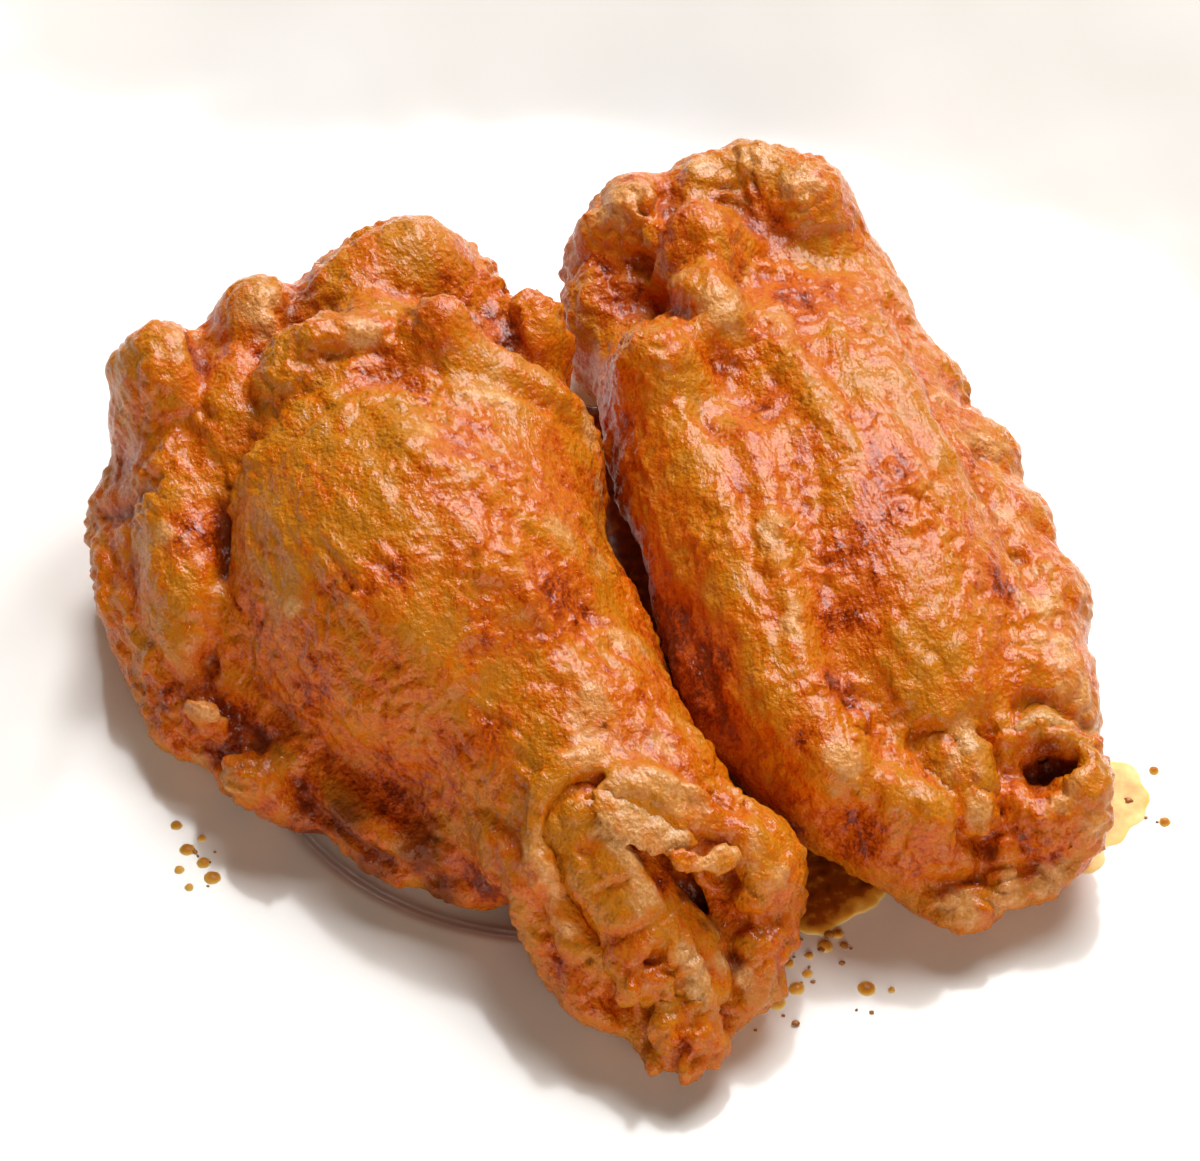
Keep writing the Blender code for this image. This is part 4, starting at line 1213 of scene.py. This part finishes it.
# %% [markdown]
# ## Sauce on the plate
#
# Sauce has run off the wings: a dark pool in the gap between them, oil at the right, a smear
# and some drops in front. The pool in the gap runs its whole length, and its deep brown also
# stands in for the shade there, as a dark sheet. Each pool is a few round spots that run
# together. Its height comes from one formula, high in the middle and rounded off at the edge,
# and the clay's surfacing turns it into a closed film that reaches a little into the glaze, so
# no gap shows under it.

# %% Pools and drops
FILM_CELL = 0.22
POOL_EDGE = 0.25
FILM_FOOT = 0.3


def pool(name, spots, depth, seed):
    """A shallow pool of sauce: spots are x, y and radius in the world's mm, and depth is its middle's."""
    spots = np.array(spots, float)
    low = np.append((spots[:, :2] - spots[:, 2:]).min(0) - 1, FLOOR_HEIGHT - RECESS_DEPTH - 1)
    high = np.append((spots[:, :2] + spots[:, 2:]).max(0) + 1, FLOOR_HEIGHT + depth + 1)
    start = np.floor(low / FILM_CELL).astype(int)
    count = np.ceil(high / FILM_CELL).astype(int) - start
    x, y = np.meshgrid(*[(np.arange(c) + s) * FILM_CELL for c, s in zip(count[:2], start[:2])], indexing="ij")
    field = np.zeros(x.shape)
    for cx, cy, radius in spots:
        field += np.clip(1 - ((x - cx) ** 2 + (y - cy) ** 2) / radius**2, 0, 1) ** 2
    wander = [noise.fractal(Vector((a / 2.0, b / 2.0, seed)), 0.9, 2.0, 3) for a, b in zip(x.flat, y.flat)]
    field = np.minimum(field, 1.2) + 0.1 * np.array(wander).reshape(x.shape)
    rise = np.clip((field - POOL_EDGE) / (1 - POOL_EDGE), -1, 1)
    height = depth * np.sign(rise) * np.sqrt(np.abs(rise))
    base = plate_top(np.hypot(x, y))
    z = (np.arange(count[2]) + start[2]) * FILM_CELL
    above = z[None, None, :] - (base + np.maximum(height, -2 * FILM_FOOT))[:, :, None]
    below = (base - FILM_FOOT)[:, :, None] - z[None, None, :]
    cells = np.maximum(above, below).astype(np.float32)
    grid = openvdb.FloatGrid(3.0)
    grid.copyFromArray(np.clip(cells, -3, 3), ijk=tuple(int(i) for i in start))
    grid.transform = openvdb.createLinearTransform(FILM_CELL)
    points, quads = grid.convertToQuads()
    points = points.astype(float)
    mesh = bpy.data.meshes.new(name)
    mesh.from_pydata((points * MM).tolist(), [], quads.tolist())
    mesh.shade_smooth()
    film = points[:, 2] - plate_top(np.hypot(points[:, 0], points[:, 1]))
    store(mesh, "film_mm", np.clip(film, 0, None))
    print(f"{name}: {len(mesh.polygons)} faces")
    return place_piece(name, mesh, None)


GAP_POOL = (
    (3, 34, 4), (4, 29, 5), (5.5, 24, 5), (6.5, 19, 5), (7.5, 14, 5), (8.5, 9, 5), (10, 4, 5),
    (12, -1, 5), (14, -6, 5), (16.5, -11, 5), (19.5, -15.5, 5), (23, -19.5, 5), (26, -22.5, 5),
    (23, -25.5, 4), (28, -19.5, 5),
)
OIL_POOL = (
    (50, -12, 3.6), (51, -10.5, 3.0), (51, -14, 3.2), (49.5, -16.5, 2.6), (47.5, -19.5, 2.6),
    (52.6, -12.5, 1.8),
)
FRONT_SMEAR = (
    (14.6, -36, 1.7), (17, -36.3, 1.5), (19.4, -35.7, 1.2), (15.5, -38, 1.4), (18.8, -34.4, 1.3),
)
DROPS = (
    (27.3, -34.2, 1.2), (21.2, -34.2, 1.0), (22.2, -32.6, 0.7), (23.8, -29.6, 1.0), (25, -28.2, 0.8),
    (22.4, -30.6, 0.6), (54.4, -9.5, 0.7), (54.9, -15.5, 0.8), (20.6, -31.5, 0.7), (29.5, -34.4, 0.5),
)
LEFT_DROPS = (
    (-34.2, -15.9, 0.8), (-33, -18.7, 1.0), (-31.5, -20.2, 0.9), (-30.6, -21.9, 1.1), (-33.6, -21, 0.7),
    (-31.8, -17.4, 0.6), (-32.6, -23, 0.6),
)

POOLS = [
    # This pool is sauce, and also a dark sheet that stands in for the shade in the gap.
    pool("sauce_and_shade_pool_between_wings", GAP_POOL, 0.7, 1.0),
    pool("oil_at_the_right", OIL_POOL, 0.2, 2.0),
    pool("smear_in_front", FRONT_SMEAR, 0.35, 3.0),
    pool("drops_in_front", DROPS, 0.45, 4.0),
    pool("drops_at_the_left", LEFT_DROPS, 0.35, 5.0),
]

# %% [markdown]
# A film of hot sauce is butter and pepper: yellow where it is thin enough for the white
# plate to shine through, and orange to brown where it stands deep. The colour follows the
# film's own thickness, and being wet it shines.

# %% Material of the sauce on the plate
SAUCE_CLOUD_MM = 1.2
FILM_STEPS = ((0.0, "#FAE8B0"), (0.05, "#F6CC6C"), (0.13, "#E09A30"), (0.3, "#9A4A0C"), (0.5, "#642604"))

pooled_sauce, tree, surface = new_finish("pooled_butter_sauce")
film = add(tree, "Attribute", {"attribute_name": "film_mm"}).outputs["Fac"]
place = add(tree, "TexCoord").outputs["Object"]
cloud = add(tree, "TexNoise", sockets={"Vector": place, "Scale": 1 / (SAUCE_CLOUD_MM * MM), "Detail": 3.0})
depth = add(tree, "Math", {"operation": "MULTIPLY"}, {0: film, 1: cloud})
feed(tree, surface, {
    "Base Color": colour_steps(tree, depth, FILM_STEPS),
    "Roughness": 0.3,
    "IOR": OILY_GLOSS_IOR,
    "Specular IOR Level": 0.3,
    "Subsurface Weight": 0.2,
    "Subsurface Radius": (1.0, 0.5, 0.15),
    "Subsurface Scale": 0.001,
})
for piece in POOLS:
    piece.data.materials.append(pooled_sauce)
print(len(POOLS), "pools of", pooled_sauce.name)

# %% [markdown]
# ## Crumbs
#
# A few specks of fried crust lie in the pools and round the wings. Each is a small ball
# whose points are moved about by noise. They are real meshes, joined into one piece.

# %% Scatter the crumbs
CRUMB_TONE_MM = 0.8
CRUMB_SPOTS = ((24.5, -29.5, 12), (19, -36, 5), (-32, -20, 8), (51, -13, 3), (24, -34, 5))  # x, y, how many


def crumbs():
    """All the crumbs, as one mesh."""
    draw = np.random.default_rng(11)
    bm = bmesh.new()
    for x, y, count in CRUMB_SPOTS:
        for _ in range(count):
            place = Vector((x + draw.normal(0, 1.8), y + draw.normal(0, 1.6), 0))
            size = 0.12 + 0.25 * draw.random() ** 3
            height = float(plate_top(math.hypot(place.x, place.y)))
            lump = bmesh.ops.create_icosphere(bm, subdivisions=2, radius=1.0)["verts"]
            for vert in lump:
                bulge = 1 + 0.5 * noise.noise(vert.co * 1.3 + place)
                vert.co = Vector((vert.co.x * 1.2, vert.co.y, vert.co.z * 0.6)) * bulge * size
                vert.co += place + Vector((0, 0, height + 0.45 * size))
                vert.co *= MM
    mesh = bpy.data.meshes.new("crumbs")
    bm.to_mesh(mesh)
    bm.free()
    mesh.shade_smooth()
    return mesh


crumb_piece = place_piece("crumbs", crumbs(), None)
crust_crumb = two_tone_finish("fried_crust_crumb", CRUMB_TONE_MM, 2.0, ("#8A4A14", "#C98A3C"), 0.4)
crumb_piece.data.materials.append(crust_crumb)
print(f"crumbs: {len(crumb_piece.data.polygons)} faces")

# %% [markdown]
# ## Light and table
#
# Glossy food looks best with the light behind it: one soft box at the back, a little to the
# right, skims over the food, draws the gloss and throws a short soft shadow towards the eye.
# A weak warm card low in front opens up the shadows on the near side, and white walls all
# round give the rest. The table is plain and pale.

# %% Light and table
KEY_PLACE, KEY_SIZE, KEY_POWER = Vector((0.25, 0.72, 0.88)), 0.80, 20.5  # metres, metres, watts
FILL_PLACE, FILL_SIZE, FILL_POWER = Vector((0.12, -0.74, 0.20)), 0.6, 4.0
ROOM_LIGHT = 0.04
AIM = Vector((0, 0, 0.02))
TABLE_HALF = 1.5


def soft_light(name, place, size, power, colour):
    """A square soft light that faces the food."""
    data = bpy.data.lights.new(name, "AREA")
    data.energy = power
    data.size = size
    data.color = linear(colour)[:3]
    light = bpy.data.objects.new(name, data)
    light.location = place
    light.rotation_mode = "QUATERNION"
    light.rotation_quaternion = (AIM - place).to_track_quat("-Z", "Y")
    bpy.context.scene.collection.objects.link(light)


soft_light("soft_box", KEY_PLACE, KEY_SIZE, KEY_POWER, "#FFFFFF")
soft_light("fill_card", FILL_PLACE, FILL_SIZE, FILL_POWER, "#FFEBD2")
room = bpy.data.worlds.new("white_room")
room.use_nodes = True
feed(room.node_tree, room.node_tree.nodes["Background"], {"Color": linear("#FFFDFA"), "Strength": ROOM_LIGHT})
bpy.context.scene.world = room

corners = [(x * TABLE_HALF, y * TABLE_HALF, 0) for x, y in ((-1, -1), (1, -1), (1, 1), (-1, 1))]
table_mesh = bpy.data.meshes.new("table_top")
table_mesh.from_pydata(corners, [], [(0, 1, 2, 3)])
table = bpy.data.objects.new("table_top", table_mesh)
bpy.context.scene.collection.objects.link(table)
table_paint, tree, surface = new_finish("matt_white_table")
feed(tree, surface, {"Base Color": linear("#FBFAF8"), "Roughness": 0.6})
table_mesh.materials.append(table_paint)
bpy.context.scene.view_settings.view_transform = "Standard"

# %% [markdown]
# ## The frame's size
#
# Dressing a piece must not change its size, so the frame's box is printed.

# %% Size of the frame
print("CAD box", [[round(v / MM, 1) for v in corner] for corner in cad_box])
